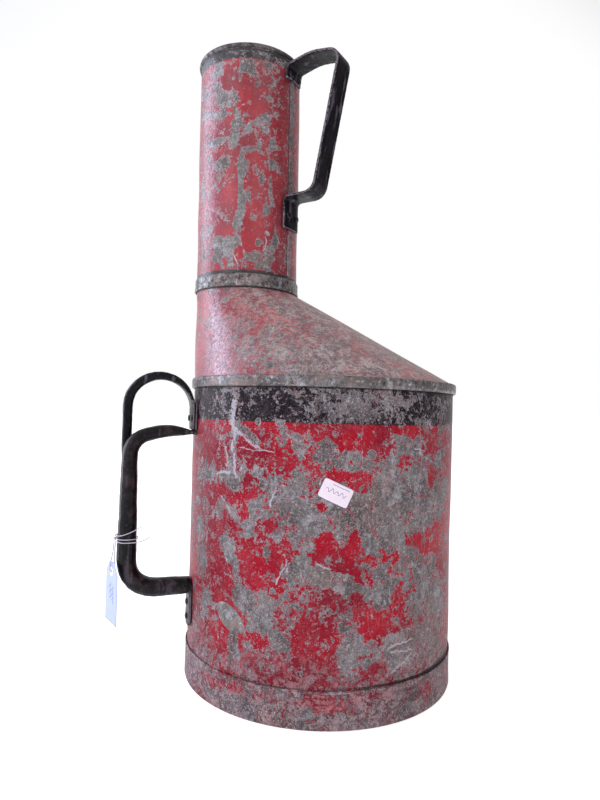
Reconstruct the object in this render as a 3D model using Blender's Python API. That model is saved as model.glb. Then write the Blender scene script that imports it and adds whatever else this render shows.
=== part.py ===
"""Sheet-steel measuring and pouring can with a tall neck set to one side of its shoulder.

Frame: metres, +Z up, standing on z = 0, with the origin under the middle of the whole object.
The neck stands to -X of the body's axis, and -Y is the front.
"""
import math

import bmesh
import bpy
from mathutils import Matrix, Vector

# ---- driving dimensions (metres, degrees) ----
GAP = 0.0003                  # between pieces that touch
SHEET = 0.0012                # galvanised sheet

BODY_RADIUS = 0.130           # outside of the body's wall
BODY_TOP = 0.2760             # upper edge of the body's wall
BODY_FOOT = 0.0015            # the wall stops this far above the ground
BASE_BAND_HEIGHT = 0.032
BASE_BAND_SHEET = 0.0012
BOTTOM_RECESS = 0.010         # underside of the bottom plate above the ground
BOTTOM_FLANGE_FOOT = 0.002

SHOULDER_BAND_RISE = 0.0025   # how far the folded shoulder seam stands proud
SHOULDER_BAND_LOW = 0.2755
SHOULDER_BAND_HIGH = 0.2850
SKIRT_DEPTH = 0.008           # cone's skirt inside the body
CONE_START = 0.2845           # the slope starts here
CONE_TOP = 0.3720

NECK_RADIUS = 0.0511          # outside of the neck's wall
NECK_OFFSET = 0.0812          # neck's axis to the body's axis
NECK_LEAN = 0.009             # sideways per unit of height
NECK_TOP = 0.6065             # top of the rolled mouth
SPIGOT_HEIGHT = 0.010         # cone's upturned edge inside the neck
COLLAR_HEIGHT = 0.0125
COLLAR_SHEET = 0.0013
MOUTH_WIRE_RADIUS = 0.00145
MOUTH_CURL_SHEET = 0.00065

SEAM_RISE = 0.0009            # lock seams stand proud of the wall
SEAM_WIDTH = 0.0052
BODY_SEAM_AZIMUTH = 70.0
CONE_SEAM_AZIMUTH = 125.0

NECK_HANDLE_AZIMUTH = -32.0
NECK_HANDLE_WIDTH = 0.025
NECK_HANDLE_THICKNESS = 0.003
NECK_HANDLE_REACH = 0.0588    # upper corner of the grip out from the neck's wall
NECK_HANDLE_LOW_REACH = 0.0334
NECK_HANDLE_HIGH = 0.5940     # upper corner's height
NECK_HANDLE_LOW = 0.4645      # lower arm's height
NECK_FOOT_LENGTH = 0.031
NECK_ARM_RISE = 0.0055         # upper arm's crown above its ends
NECK_ROOT_LENGTH = 0.013
ROOT_RIVET_RISE = 0.0045      # rivets above the strap's upper end
FOOT_RIVET_RISE = 0.013        # rivets above the end of its foot

BODY_HANDLE_AZIMUTH = 200.0
TANG_WIDTH = 0.022
TANG_THICKNESS = 0.0022
GRIP_REACH = 0.0593           # middle of the grip's leg out from the body's wall
GRIP_LOW = 0.0888             # middle of the lower arm
GRIP_HIGH = 0.2325            # where the upper arm meets the body
GRIP_WIDTH = 0.020
TAIL_END = 0.0516
TAIL_THICKNESS = 0.0027
LOOP_RADIUS = 0.0288          # middle of the loop's bar
LOOP_CENTRE_HEIGHT = 0.2567
LOOP_WIDTH = 0.012
LOOP_FREE_END = 0.200

RIVET_SHANK = 0.0020          # radii
RIVET_HEAD = 0.0034
RIVET_HEAD_RISE = 0.0013
RIVET_TAIL_RISE = 0.0009
RIVET_SPREAD = 0.0065         # each side of the strap's middle line

LABEL_SIZE = (0.026, 0.016)
LABEL_THICKNESS = 0.00025
LABEL_AZIMUTH = -86.5
LABEL_HEIGHT = 0.190
LABEL_TURN = -24.0

TAG_WIDTH = 0.032
TAG_HEIGHT = 0.055
TAG_CLIP = 0.010
TAG_THICKNESS = 0.0006
TAG_HOLE_RADIUS = 0.002
TAG_HOLE_DROP = 0.009         # hole's centre below the tag's upper edge
TAG_YAW = 15.0
TIE_HEIGHT = 0.1355           # where the string goes round the grip
STRING_RADIUS = 0.00045
STRING_DROP = 0.0299          # knot to the tag's hole
STRING_BEND = 0.0018
TAG_STANDOFF = 0.0034         # tag out from the grip's outer side

BODY_SEGMENTS = 72
NECK_SEGMENTS = 48
ARC_STEPS = 7
SECTION_SIDES = (0.985, 0.92, 0.62, 0.22)   # points across half of a swept section, as shares of its half width
STATION = 0.007               # spacing of a swept bar's sections

TAG_OBJECTS = ("tag_card", "tag_string", "tag_string_tie", "tag_string_end_upper", "tag_string_end_lower")


# ---- materials ----
def material(name, colour, roughness, metallic):
    made = bpy.data.materials.new(name)
    made.use_nodes = True
    shader = made.node_tree.nodes["Principled BSDF"]
    shader.inputs["Base Color"].default_value = (*colour, 1.0)
    shader.inputs["Roughness"].default_value = roughness
    shader.inputs["Metallic"].default_value = metallic
    made.diffuse_color = (*colour, 1.0)
    return made


def make_materials():
    return {
        "red_paint": material("red_paint", (0.45, 0.045, 0.05), 0.45, 0.0),
        "bare_zinc": material("bare_zinc", (0.30, 0.29, 0.28), 0.5, 0.6),
        "black_paint": material("black_paint", (0.025, 0.023, 0.028), 0.45, 0.0),
        "steel_wire": material("steel_wire", (0.35, 0.34, 0.33), 0.4, 0.9),
        "paper": material("paper", (0.80, 0.80, 0.88), 0.8, 0.0),
        "cotton": material("cotton", (0.75, 0.72, 0.70), 0.9, 0.0),
    }


# ---- building blocks ----
def new_object(name, mesh, finish, parent):
    made = bpy.data.objects.new(name, mesh)
    bpy.context.scene.collection.objects.link(made)
    made.data.materials.append(finish)
    made.parent = parent
    return made


def finish_mesh(name, shape, smooth_angle=35.0):
    bmesh.ops.recalc_face_normals(shape, faces=shape.faces)
    mesh = bpy.data.meshes.new(name)
    shape.to_mesh(mesh)
    shape.free()
    mesh.shade_smooth()
    mesh.set_sharp_from_angle(angle=math.radians(smooth_angle))
    return mesh


def ring_angles(segments, seam_azimuth=None, radius=1.0):
    """(angle, rise) pairs round a ring. The rise is 1 on a lock seam's crest and 0 elsewhere."""
    start = math.radians(seam_azimuth or 0.0)
    even = [(start + 2 * math.pi * k / segments, 0.0) for k in range(1, segments)]
    if seam_azimuth is None:
        return [(start, 0.0)] + even
    half = SEAM_WIDTH / 2 / radius
    crest = half * 0.7
    foot_and_crest = [(start - half, 0.0), (start - crest, 1.0), (start + crest, 1.0), (start + half, 0.0)]
    return foot_and_crest + even


def neck_centre(height):
    """The neck's middle at a height: it leans a little away from the body."""
    return -NECK_OFFSET - NECK_LEAN * (height - CONE_TOP)


def loft(name, rings, angles, capped=False):
    """Rings are (centre x, radius, z, seam share). The last ring joins the first unless the ends are capped."""
    shape = bmesh.new()
    loops = []
    for centre, radius, height, share in rings:
        loop = []
        for angle, rise in angles:
            reach = radius + SEAM_RISE * rise * share
            loop.append(shape.verts.new((centre + reach * math.cos(angle), reach * math.sin(angle), height)))
        loops.append(loop)
    pairs = list(zip(loops, loops[1:]))
    if not capped:
        pairs.append((loops[-1], loops[0]))
    for lower, upper in pairs:
        for k in range(len(lower)):
            n = (k + 1) % len(lower)
            shape.faces.new((lower[k], lower[n], upper[n], upper[k]))
    if capped:
        shape.faces.new(loops[0])
        shape.faces.new(loops[-1])
    return finish_mesh(name, shape)


def arc_points(centre, radius, start, end, steps):
    """Points on an arc in the (r, z) plane, from one angle to another, in degrees."""
    found = []
    for k in range(steps + 1):
        angle = math.radians(start + (end - start) * k / steps)
        found.append((centre[0] + radius * math.cos(angle), centre[1] + radius * math.sin(angle)))
    return found


def rounded_path(corners, radii):
    """A polyline through the corners in the (r, z) plane with each inner corner rounded to its radius."""
    points = [Vector(corners[0])]
    for before, corner, after, radius in zip(corners, corners[1:], corners[2:], radii):
        corner = Vector(corner)
        back = (Vector(before) - corner).normalized()
        ahead = (Vector(after) - corner).normalized()
        half = math.acos(max(-1.0, min(1.0, back.dot(ahead)))) / 2
        start = corner + back * (radius / math.tan(half))
        end = corner + ahead * (radius / math.tan(half))
        centre = corner + (back + ahead).normalized() * (radius / math.sin(half))
        a, b = start - centre, end - centre
        sweep = math.atan2(a.x * b.y - a.y * b.x, a.dot(b))
        steps = max(3, round(abs(sweep) / math.radians(15)))
        for k in range(steps + 1):
            turn = sweep * k / steps
            points.append(centre + Matrix.Rotation(turn, 2) @ a)
    points.append(Vector(corners[-1]))
    return points


def spaced(points, spacing):
    """The polyline with stations no further apart than the spacing, and each one's share of the length."""
    found = [points[0]]
    for a, b in zip(points, points[1:]):
        pieces = max(1, math.ceil((b - a).length / spacing))
        found.extend(a.lerp(b, k / pieces) for k in range(1, pieces + 1))
    lengths = [0.0]
    for a, b in zip(found, found[1:]):
        lengths.append(lengths[-1] + (b - a).length)
    return found, [length / lengths[-1] for length in lengths]


def between(stations, share):
    """A value read from (share, value) stations, straight between them."""
    for (s0, v0), (s1, v1) in zip(stations, stations[1:]):
        if share <= s1:
            return v0 + (v1 - v0) * max(0.0, (share - s0) / (s1 - s0))
    return stations[-1][1]


def standing_plane(centre_x, azimuth):
    """Origin, outward direction and sideways direction of an upright plane through a round wall's axis."""
    angle = math.radians(azimuth)
    outward = Vector((math.cos(angle), math.sin(angle), 0))
    sideways = Vector((-math.sin(angle), math.cos(angle), 0))
    return Vector((centre_x, 0, 0)), outward, sideways


def section_points():
    """(share of the half width, 1 above or -1 below) for the points round a swept section."""
    across = list(SECTION_SIDES) + [-x for x in reversed(SECTION_SIDES)]
    return [(1.0, 1)] + [(x, 1) for x in across] + [(-1.0, 1)] + [(x, -1) for x in reversed(across)]


def sweep(name, plane, path, widths, thicknesses, squareness, shift=((0, 0), (1, 0)), cup=((0, 0), (1, 0))):
    """A bar along a path in an upright plane.

    Widths run sideways and thicknesses in the plane. Squareness is 2 for an ellipse and more for a flat strap.
    Shift moves the bar sideways, and cup bends its section round the wall, as 1 / (wall's radius).
    """
    origin, outward, sideways = plane
    stations, shares = spaced(path, STATION)
    shape = bmesh.new()
    loops = []
    for k, (point, share) in enumerate(zip(stations, shares)):
        ahead = stations[min(k + 1, len(stations) - 1)]
        behind = stations[max(k - 1, 0)]
        along = (ahead - behind).normalized()
        across = Vector((-along.y, along.x))
        power = between(squareness, share)
        loop = []
        for x, top in section_points():
            side = between(widths, share) / 2 * x
            rise = between(thicknesses, share) / 2 * top * (1 - abs(x) ** power) ** (1 / power)
            r = point.x + across.x * rise - between(cup, share) * side * side / 2
            z = point.y + across.y * rise
            spot = origin + outward * r + sideways * (side + between(shift, share))
            loop.append(shape.verts.new((spot.x, spot.y, z)))
        loops.append(loop)
    for a, b in zip(loops, loops[1:]):
        for j in range(len(a)):
            n = (j + 1) % len(a)
            shape.faces.new((a[j], a[n], b[n], b[j]))
    shape.faces.new(loops[0])
    shape.faces.new(loops[-1])
    return finish_mesh(name, shape, 50.0)


def joined(target, other):
    """Unites another object with the target, which becomes one body. The other stays as a hidden guide."""
    hide_guide(other)
    union = target.modifiers.new("join_" + other.name, "BOOLEAN")
    union.operation = "UNION"
    union.object = other


def hide_guide(guide):
    guide.hide_render = True
    guide.display_type = "WIRE"


def drill(target, drills):
    for guide in drills:
        cut = target.modifiers.new("hole_" + guide.name, "BOOLEAN")
        cut.operation = "DIFFERENCE"
        cut.object = guide


def lathe(name, profile, segments, matrix, finish, parent):
    """A solid turned about its own axis from (radius, height) points, its ends closed, placed by a matrix."""
    angles = [2 * math.pi * k / segments for k in range(segments)]
    shape = bmesh.new()
    loops = []
    for radius, height in profile:
        loops.append([shape.verts.new((radius * math.cos(a), radius * math.sin(a), height)) for a in angles])
    for lower, upper in zip(loops, loops[1:]):
        for k in range(segments):
            n = (k + 1) % segments
            shape.faces.new((lower[k], lower[n], upper[n], upper[k]))
    shape.faces.new(loops[0])
    shape.faces.new(loops[-1])
    made = new_object(name, finish_mesh(name, shape, 50.0), finish, parent)
    made.matrix_local = matrix
    return made


def tube(name, points, finish, parent):
    """A string: a curve tube with a round section and closed ends."""
    curve = bpy.data.curves.new(name, "CURVE")
    curve.dimensions = "3D"
    curve.bevel_depth = STRING_RADIUS
    curve.bevel_resolution = 2
    curve.use_fill_caps = True
    line = curve.splines.new("POLY")
    line.points.add(len(points) - 1)
    for spot, point in zip(line.points, points):
        spot.co = (*point, 1.0)
    return new_object(name, curve, finish, parent)


def smooth_line(points, per_span=5):
    """A Catmull-Rom curve through the points."""
    padded = [points[0] * 2 - points[1]] + list(points) + [points[-1] * 2 - points[-2]]
    found = []
    for p0, p1, p2, p3 in zip(padded, padded[1:], padded[2:], padded[3:]):
        for k in range(per_span):
            t = k / per_span
            found.append(0.5 * (2 * p1 + (p2 - p0) * t + (2 * p0 - 5 * p1 + 4 * p2 - p3) * t ** 2
                                + (3 * p1 - p0 - 3 * p2 + p3) * t ** 3))
    found.append(points[-1])
    return found


# ---- the can's shells ----
def make_body(finishes, root):
    wall = [
        (0.0, BODY_RADIUS, BODY_FOOT, 0.0),
        (0.0, BODY_RADIUS, BASE_BAND_HEIGHT + GAP, 0.0),
        (0.0, BODY_RADIUS, BASE_BAND_HEIGHT + 2 * GAP, 1.0),
        (0.0, BODY_RADIUS, SHOULDER_BAND_LOW - 2 * GAP, 1.0),
        (0.0, BODY_RADIUS, SHOULDER_BAND_LOW - GAP, 0.0),
        (0.0, BODY_RADIUS, BODY_TOP, 0.0),
        (0.0, BODY_RADIUS - SHEET, BODY_TOP, 0.0),
        (0.0, BODY_RADIUS - SHEET, BODY_FOOT, 0.0),
    ]
    angles = ring_angles(BODY_SEGMENTS, BODY_SEAM_AZIMUTH, BODY_RADIUS)
    body = new_object("body_shell", loft("body_shell", wall, angles), finishes["red_paint"], root)

    plate_radius = BODY_RADIUS - SHEET - GAP
    plate = [
        (0.0, plate_radius - SHEET, BOTTOM_RECESS, 0.0),
        (0.0, plate_radius - SHEET, BOTTOM_FLANGE_FOOT, 0.0),
        (0.0, plate_radius, BOTTOM_FLANGE_FOOT, 0.0),
        (0.0, plate_radius, BOTTOM_RECESS + SHEET, 0.0),
    ]
    plain = ring_angles(BODY_SEGMENTS)
    new_object("bottom_plate", loft("bottom_plate", plate, plain, True), finishes["bare_zinc"], root)

    inner = BODY_RADIUS + GAP
    outer = inner + BASE_BAND_SHEET
    edge = BASE_BAND_SHEET / 3
    band = [
        (0.0, inner, 0.0, 0.0),
        (0.0, outer, 0.0, 0.0),
        (0.0, outer, BASE_BAND_HEIGHT - edge, 0.0),
        (0.0, outer - edge, BASE_BAND_HEIGHT, 0.0),
        (0.0, inner, BASE_BAND_HEIGHT, 0.0),
    ]
    new_object("base_band", loft("base_band", band, plain), finishes["bare_zinc"], root)
    return body


def make_shoulder(finishes, root):
    skirt = BODY_RADIUS - SHEET - GAP
    neck = neck_centre(CONE_TOP)
    spigot = NECK_RADIUS - SHEET - GAP
    cone = [
        (0.0, BODY_RADIUS, BODY_TOP + GAP, 0.0),
        (0.0, BODY_RADIUS, CONE_START, 0.0),
        (-0.02 * NECK_OFFSET, BODY_RADIUS - 0.02 * (BODY_RADIUS - NECK_RADIUS),
         CONE_START + 0.02 * (CONE_TOP - CONE_START), 1.0),
        (-0.98 * NECK_OFFSET, NECK_RADIUS + 0.02 * (BODY_RADIUS - NECK_RADIUS),
         CONE_TOP - 0.02 * (CONE_TOP - CONE_START), 1.0),
        (neck, NECK_RADIUS, CONE_TOP, 0.0),
        (neck, spigot, CONE_TOP, 0.0),
        (neck, spigot, CONE_TOP + SPIGOT_HEIGHT, 0.0),
        (neck, spigot - SHEET, CONE_TOP + SPIGOT_HEIGHT, 0.0),
        (neck, spigot - SHEET, CONE_TOP - SHEET, 0.0),
        (0.0, skirt, CONE_START - SHEET, 0.0),
        (0.0, skirt - SHEET, CONE_START - 3 * SHEET, 0.0),
        (0.0, skirt - SHEET, BODY_TOP - SKIRT_DEPTH, 0.0),
        (0.0, skirt, BODY_TOP - SKIRT_DEPTH, 0.0),
        (0.0, skirt, BODY_TOP + GAP, 0.0),
    ]
    angles = ring_angles(BODY_SEGMENTS, CONE_SEAM_AZIMUTH, BODY_RADIUS)
    new_object("shoulder_cone", loft("shoulder_cone", cone, angles), finishes["red_paint"], root)

    inner = BODY_RADIUS + GAP
    outer = BODY_RADIUS + GAP + SHOULDER_BAND_RISE
    soft = SHOULDER_BAND_RISE / 3
    section = [(inner, SHOULDER_BAND_LOW), (outer - soft / 2, SHOULDER_BAND_LOW)]
    section += [(outer, SHOULDER_BAND_LOW + soft)]
    section += arc_points((outer - 2 * soft, SHOULDER_BAND_HIGH - 2 * soft), 2 * soft, 0, 90, 4)
    section += [(inner, SHOULDER_BAND_HIGH)]
    band = [(0.0, radius, height, 0.0) for radius, height in section]
    new_object("shoulder_band", loft("shoulder_band", band, ring_angles(BODY_SEGMENTS)),
               finishes["bare_zinc"], root)


def make_neck(finishes, root):
    foot = CONE_TOP + GAP
    collar_low = CONE_TOP + 2 * GAP
    collar_high = collar_low + COLLAR_HEIGHT
    hollow = MOUTH_WIRE_RADIUS + GAP
    curl = hollow + MOUTH_CURL_SHEET
    bead = (NECK_RADIUS - SHEET / 2, NECK_TOP - curl)
    inside = NECK_RADIUS - SHEET
    outside_meets = -math.degrees(math.acos((NECK_RADIUS - bead[0]) / curl))
    inside_meets = -math.degrees(math.acos((inside - bead[0]) / hollow))
    curl_end = 225.0
    wall = [(inside, foot, 0.0)]
    wall += [(r, z, 0.0) for r, z in arc_points(bead, hollow, inside_meets, curl_end, ARC_STEPS)]
    wall += [(r, z, 0.0) for r, z in arc_points(bead, curl, curl_end, outside_meets, ARC_STEPS)]
    below_curl = bead[1] - curl - GAP
    wall += [(NECK_RADIUS, below_curl, 0.0), (NECK_RADIUS, below_curl - SEAM_RISE, 1.0)]
    wall += [(NECK_RADIUS, collar_high + 2 * GAP, 1.0), (NECK_RADIUS, collar_high + GAP, 0.0)]
    wall += [(NECK_RADIUS, foot, 0.0)]
    rings = [(neck_centre(z), r, z, share) for r, z, share in wall]
    angles = ring_angles(NECK_SEGMENTS, NECK_HANDLE_AZIMUTH, NECK_RADIUS)
    neck = new_object("neck_tube", loft("neck_tube", rings, angles), finishes["red_paint"], root)

    plain = ring_angles(NECK_SEGMENTS)
    wire = [(neck_centre(z), r, z, 0.0) for r, z in arc_points(bead, MOUTH_WIRE_RADIUS, 0, 315, 7)]
    new_object("mouth_wire", loft("mouth_wire", wire, plain), finishes["steel_wire"], root)

    inner = NECK_RADIUS + GAP
    outer = inner + COLLAR_SHEET
    soft = COLLAR_SHEET / 2
    section = [
        (inner, collar_low),
        (outer - soft, collar_low),
        (outer, collar_low + soft),
        (outer, collar_high - soft / 2),
        (outer - soft / 2, collar_high),
        (inner, collar_high),
    ]
    rings = [(neck_centre(z), r, z, 0.0) for r, z in section]
    new_object("neck_collar", loft("neck_collar", rings, plain), finishes["bare_zinc"], root)
    return neck


# ---- rivets ----
def make_rivet(name, centre_x, radius, azimuth, aside, height, stack, finishes, root):
    """A rivet through a round wall and what is stacked on it, and the guide that drills its hole.

    Radius is the wall's outside, aside is the distance from the strap's middle line, and stack is the
    distance from the wall's outside to the outer face of the strap.
    """
    angle = math.radians(azimuth) + math.asin(aside / radius)
    outward = Vector((math.cos(angle), math.sin(angle), 0))
    turn = outward.to_track_quat("Z", "Y").to_matrix().to_4x4()
    place = Matrix.Translation(Vector((centre_x, 0, height)) + outward * radius) @ turn
    under_head = stack + GAP
    above_tail = -SHEET - GAP
    profile = [
        (RIVET_HEAD * 0.45, above_tail - RIVET_TAIL_RISE),
        (RIVET_HEAD * 0.85, above_tail - RIVET_TAIL_RISE * 0.6),
        (RIVET_HEAD * 0.85, above_tail),
        (RIVET_SHANK, above_tail),
        (RIVET_SHANK, under_head),
        (RIVET_HEAD, under_head),
        (RIVET_HEAD * 0.92, under_head + RIVET_HEAD_RISE * 0.45),
        (RIVET_HEAD * 0.62, under_head + RIVET_HEAD_RISE * 0.85),
        (RIVET_HEAD * 0.25, under_head + RIVET_HEAD_RISE),
    ]
    lathe(name, profile, 12, place, finishes["black_paint"], root)
    reach = stack + 2 * RIVET_HEAD
    hole = RIVET_SHANK + GAP
    guide_profile = [(hole, above_tail - reach), (hole, reach)]
    guide = lathe(name + "_drill", guide_profile, 12, place, finishes["black_paint"], root)
    hide_guide(guide)
    return guide


# ---- handles ----
def make_neck_handle(neck, finishes, root):
    lie = NECK_RADIUS + SEAM_RISE + GAP + NECK_HANDLE_THICKNESS / 2
    middle = (NECK_HANDLE_HIGH + NECK_HANDLE_LOW) / 2
    plane = standing_plane(neck_centre(middle), NECK_HANDLE_AZIMUTH)
    lean = NECK_LEAN * math.cos(math.radians(NECK_HANDLE_AZIMUTH))

    def lying(height):
        """How far out the strap's middle lies at a height, where it follows the leaning neck."""
        return lie - lean * (height - middle)

    root_low = NECK_HANDLE_HIGH - NECK_ROOT_LENGTH
    foot_low = NECK_HANDLE_LOW - NECK_FOOT_LENGTH
    corners = [
        (lying(root_low), root_low),
        (lying(NECK_HANDLE_HIGH), NECK_HANDLE_HIGH),
        (NECK_RADIUS + 0.45 * NECK_HANDLE_REACH, NECK_HANDLE_HIGH + NECK_ARM_RISE),
        (NECK_RADIUS + NECK_HANDLE_REACH, NECK_HANDLE_HIGH),
        (NECK_RADIUS + NECK_HANDLE_LOW_REACH, NECK_HANDLE_LOW),
        (lying(NECK_HANDLE_LOW), NECK_HANDLE_LOW),
        (lying(foot_low), foot_low),
    ]
    path = rounded_path(corners, (0.005, 0.045, 0.011, 0.012, 0.005))
    width = ((0, NECK_HANDLE_WIDTH), (1, NECK_HANDLE_WIDTH))
    thickness = ((0, NECK_HANDLE_THICKNESS), (1, NECK_HANDLE_THICKNESS))
    bend = 1 / (NECK_RADIUS + SEAM_RISE)
    cup = ((0, bend), (0.05, bend), (0.14, 0), (0.80, 0), (0.90, bend), (1, bend))
    mesh = sweep("neck_handle", plane, path, width, thickness, ((0, 7), (1, 7)), cup=cup)
    handle = new_object("neck_handle", mesh, finishes["black_paint"], root)

    stack = SEAM_RISE + GAP + NECK_HANDLE_THICKNESS
    places = {
        "neck_rivet_upper_left": (-RIVET_SPREAD, root_low + ROOT_RIVET_RISE),
        "neck_rivet_upper_right": (RIVET_SPREAD, root_low + ROOT_RIVET_RISE),
        "neck_rivet_lower_left": (-RIVET_SPREAD, foot_low + FOOT_RIVET_RISE),
        "neck_rivet_lower_right": (RIVET_SPREAD, foot_low + FOOT_RIVET_RISE),
    }
    drills = []
    for name, (aside, height) in places.items():
        drills.append(make_rivet(name, neck_centre(height), NECK_RADIUS, NECK_HANDLE_AZIMUTH,
                                 aside, height, stack, finishes, root))
    drill(handle, drills)
    drill(neck, drills)


def grip_line():
    """The grip's middle line, from its upper end at the body round to its lower end."""
    leg = BODY_RADIUS + GRIP_REACH
    start = BODY_RADIUS + GAP + TANG_THICKNESS / 2
    arch = 0.0020
    corners = [
        (start, GRIP_HIGH),
        (BODY_RADIUS + 0.45 * GRIP_REACH, GRIP_HIGH + arch),
        (leg, GRIP_HIGH - 0.006),
        (leg, GRIP_LOW),
        (BODY_RADIUS + 2 * GAP, GRIP_LOW),
    ]
    return rounded_path(corners, (0.05, 0.020, 0.026))


def make_body_handle(body, finishes, root):
    plane = standing_plane(0.0, BODY_HANDLE_AZIMUTH)
    wrap = 1 / BODY_RADIUS
    black = finishes["black_paint"]

    # Forged grip: thin at its upper end, full along the leg.
    thickness = ((0, 0.0022), (0.05, 0.0085), (0.11, 0.0122), (0.17, 0.0130), (0.26, 0.0138), (0.40, 0.0154),
                 (0.62, 0.0176), (0.82, 0.0175), (0.93, 0.0166), (1, 0.0150))
    width = ((0, TANG_WIDTH), (0.06, 0.019), (0.12, 0.018), (0.35, 0.95 * GRIP_WIDTH), (0.6, GRIP_WIDTH),
             (1, GRIP_WIDTH))
    square = ((0, 5), (0.08, 2.6), (0.5, 2.3), (1, 2.4))
    grip_mesh = sweep("body_handle_grip", plane, grip_line(), width, thickness, square,
                      cup=((0, wrap), (0.05, 0), (0.96, 0), (1, wrap)))
    grip = new_object("body_handle_grip", grip_mesh, black, root)

    tang_middle = BODY_RADIUS + GAP + TANG_THICKNESS / 2
    tang_high = LOOP_CENTRE_HEIGHT + 0.005
    tang_path = [Vector((tang_middle, GRIP_HIGH - TANG_THICKNESS)), Vector((tang_middle, tang_high))]
    tang_width = ((0, 0.95 * TANG_WIDTH), (1, 0.95 * TANG_WIDTH))
    tang_mesh = sweep("grip_tang", plane, tang_path, tang_width, ((0, TANG_THICKNESS), (1, TANG_THICKNESS)),
                      ((0, 7), (1, 7)), cup=((0, wrap), (1, wrap)))
    joined(grip, new_object("grip_tang", tang_mesh, black, root))

    tail_middle = BODY_RADIUS + GAP + TAIL_THICKNESS / 2
    tail_path = [Vector((tail_middle, GRIP_LOW)), Vector((tail_middle, TAIL_END))]
    tail_width = ((0, 0.95 * GRIP_WIDTH), (0.3, TANG_WIDTH), (0.85, TANG_WIDTH), (1, 0.6 * TANG_WIDTH))
    tail_mesh = sweep("grip_tail", plane, tail_path, tail_width, ((0, TAIL_THICKNESS), (1, TAIL_THICKNESS)),
                      ((0, 7), (1, 6)), cup=((0, wrap), (1, wrap)))
    joined(grip, new_object("grip_tail", tail_mesh, black, root))

    # Loop above the grip: a flat foot over the grip's tang, a round arch, and a leg behind the grip.
    foot = BODY_RADIUS + 2 * GAP + 1.5 * TANG_THICKNESS
    centre = foot + LOOP_RADIUS
    foot_low = GRIP_HIGH + 0.0030
    loop_path = [Vector((foot, foot_low))]
    loop_path += [Vector(p) for p in arc_points((centre, LOOP_CENTRE_HEIGHT), LOOP_RADIUS, 180, 0, 16)]
    loop_path += [Vector((centre + LOOP_RADIUS, LOOP_FREE_END))]
    behind = -(GRIP_WIDTH + LOOP_WIDTH) / 2 - GAP
    side_shift = ((0, 0), (0.15, 0), (0.30, 0.12 * behind), (0.45, 0.5 * behind), (0.58, 0.9 * behind),
                  (0.66, behind), (1, behind))
    loop_thickness = ((0, TANG_THICKNESS), (0.13, TANG_THICKNESS), (0.22, 0.0048), (0.32, 0.0072),
                      (0.45, 0.0086), (0.6, 0.0092), (0.9, 0.0092), (1, 0.0070))
    loop_width = ((0, 0.8 * TANG_WIDTH), (0.04, TANG_WIDTH), (0.13, TANG_WIDTH), (0.25, 1.2 * LOOP_WIDTH),
                  (0.36, LOOP_WIDTH), (0.95, LOOP_WIDTH), (1, 0.8 * LOOP_WIDTH))
    loop_mesh = sweep("body_handle_loop", plane, loop_path, loop_width, loop_thickness,
                      ((0, 7), (0.14, 7), (0.3, 3.2), (1, 3.0)), side_shift,
                      ((0, wrap), (0.14, wrap), (0.22, 0), (1, 0)))
    loop = new_object("body_handle_loop", loop_mesh, black, root)

    top_stack = 2 * GAP + 2 * TANG_THICKNESS
    tail_stack = GAP + TAIL_THICKNESS
    top_height = (foot_low + LOOP_CENTRE_HEIGHT) / 2
    tail_length = GRIP_LOW - TAIL_END
    top_drills = []
    for name, aside in (("handle_rivet_top_left", RIVET_SPREAD), ("handle_rivet_top_right", -RIVET_SPREAD)):
        top_drills.append(make_rivet(name, 0.0, BODY_RADIUS, BODY_HANDLE_AZIMUTH, aside, top_height,
                                     top_stack, finishes, root))
    tail_drills = []
    for name, share in (("handle_rivet_tail_upper", 0.42), ("handle_rivet_tail_lower", 0.78)):
        tail_drills.append(make_rivet(name, 0.0, BODY_RADIUS, BODY_HANDLE_AZIMUTH, 0.0,
                                      GRIP_LOW - share * tail_length, tail_stack, finishes, root))
    drill(grip, top_drills + tail_drills)
    drill(loop, top_drills)
    drill(body, top_drills + tail_drills)


# ---- paper pieces and string ----
def rounded_outline(width, height, radius, steps=4):
    corners = [(1, 1, 0), (-1, 1, 90), (-1, -1, 180), (1, -1, 270)]
    outline = []
    for sx, sy, start in corners:
        centre = (sx * (width / 2 - radius), sy * (height / 2 - radius))
        outline += arc_points(centre, radius, start, start + 90, steps)
    return outline


def make_price_label(finishes, root):
    """A small paper label that follows the body's wall."""
    width, height = LABEL_SIZE
    shape = bmesh.new()
    outline = [shape.verts.new((x, y, 0)) for x, y in rounded_outline(width, height, 0.002)]
    shape.faces.new(outline)
    turn = Matrix.Rotation(math.radians(LABEL_TURN), 4, "Z")
    bmesh.ops.transform(shape, matrix=turn, verts=shape.verts)
    half = width / 2
    slices = 8
    for k in range(1, slices):
        geometry = shape.verts[:] + shape.edges[:] + shape.faces[:]
        bmesh.ops.bisect_plane(shape, geom=geometry, plane_co=(half * (2 * k / slices - 1), 0, 0),
                               plane_no=(1, 0, 0))
    grown = bmesh.ops.extrude_face_region(shape, geom=shape.faces[:])
    for piece in grown["geom"]:
        if isinstance(piece, bmesh.types.BMVert):
            piece.co.z = LABEL_THICKNESS
    inner = BODY_RADIUS + GAP
    for vertex in shape.verts:
        angle = math.radians(LABEL_AZIMUTH) + vertex.co.x / inner
        reach = inner + vertex.co.z
        vertex.co = (reach * math.cos(angle), reach * math.sin(angle), LABEL_HEIGHT + vertex.co.y)
    new_object("price_label", finish_mesh("price_label", shape, 50.0), finishes["paper"], root)


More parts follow.
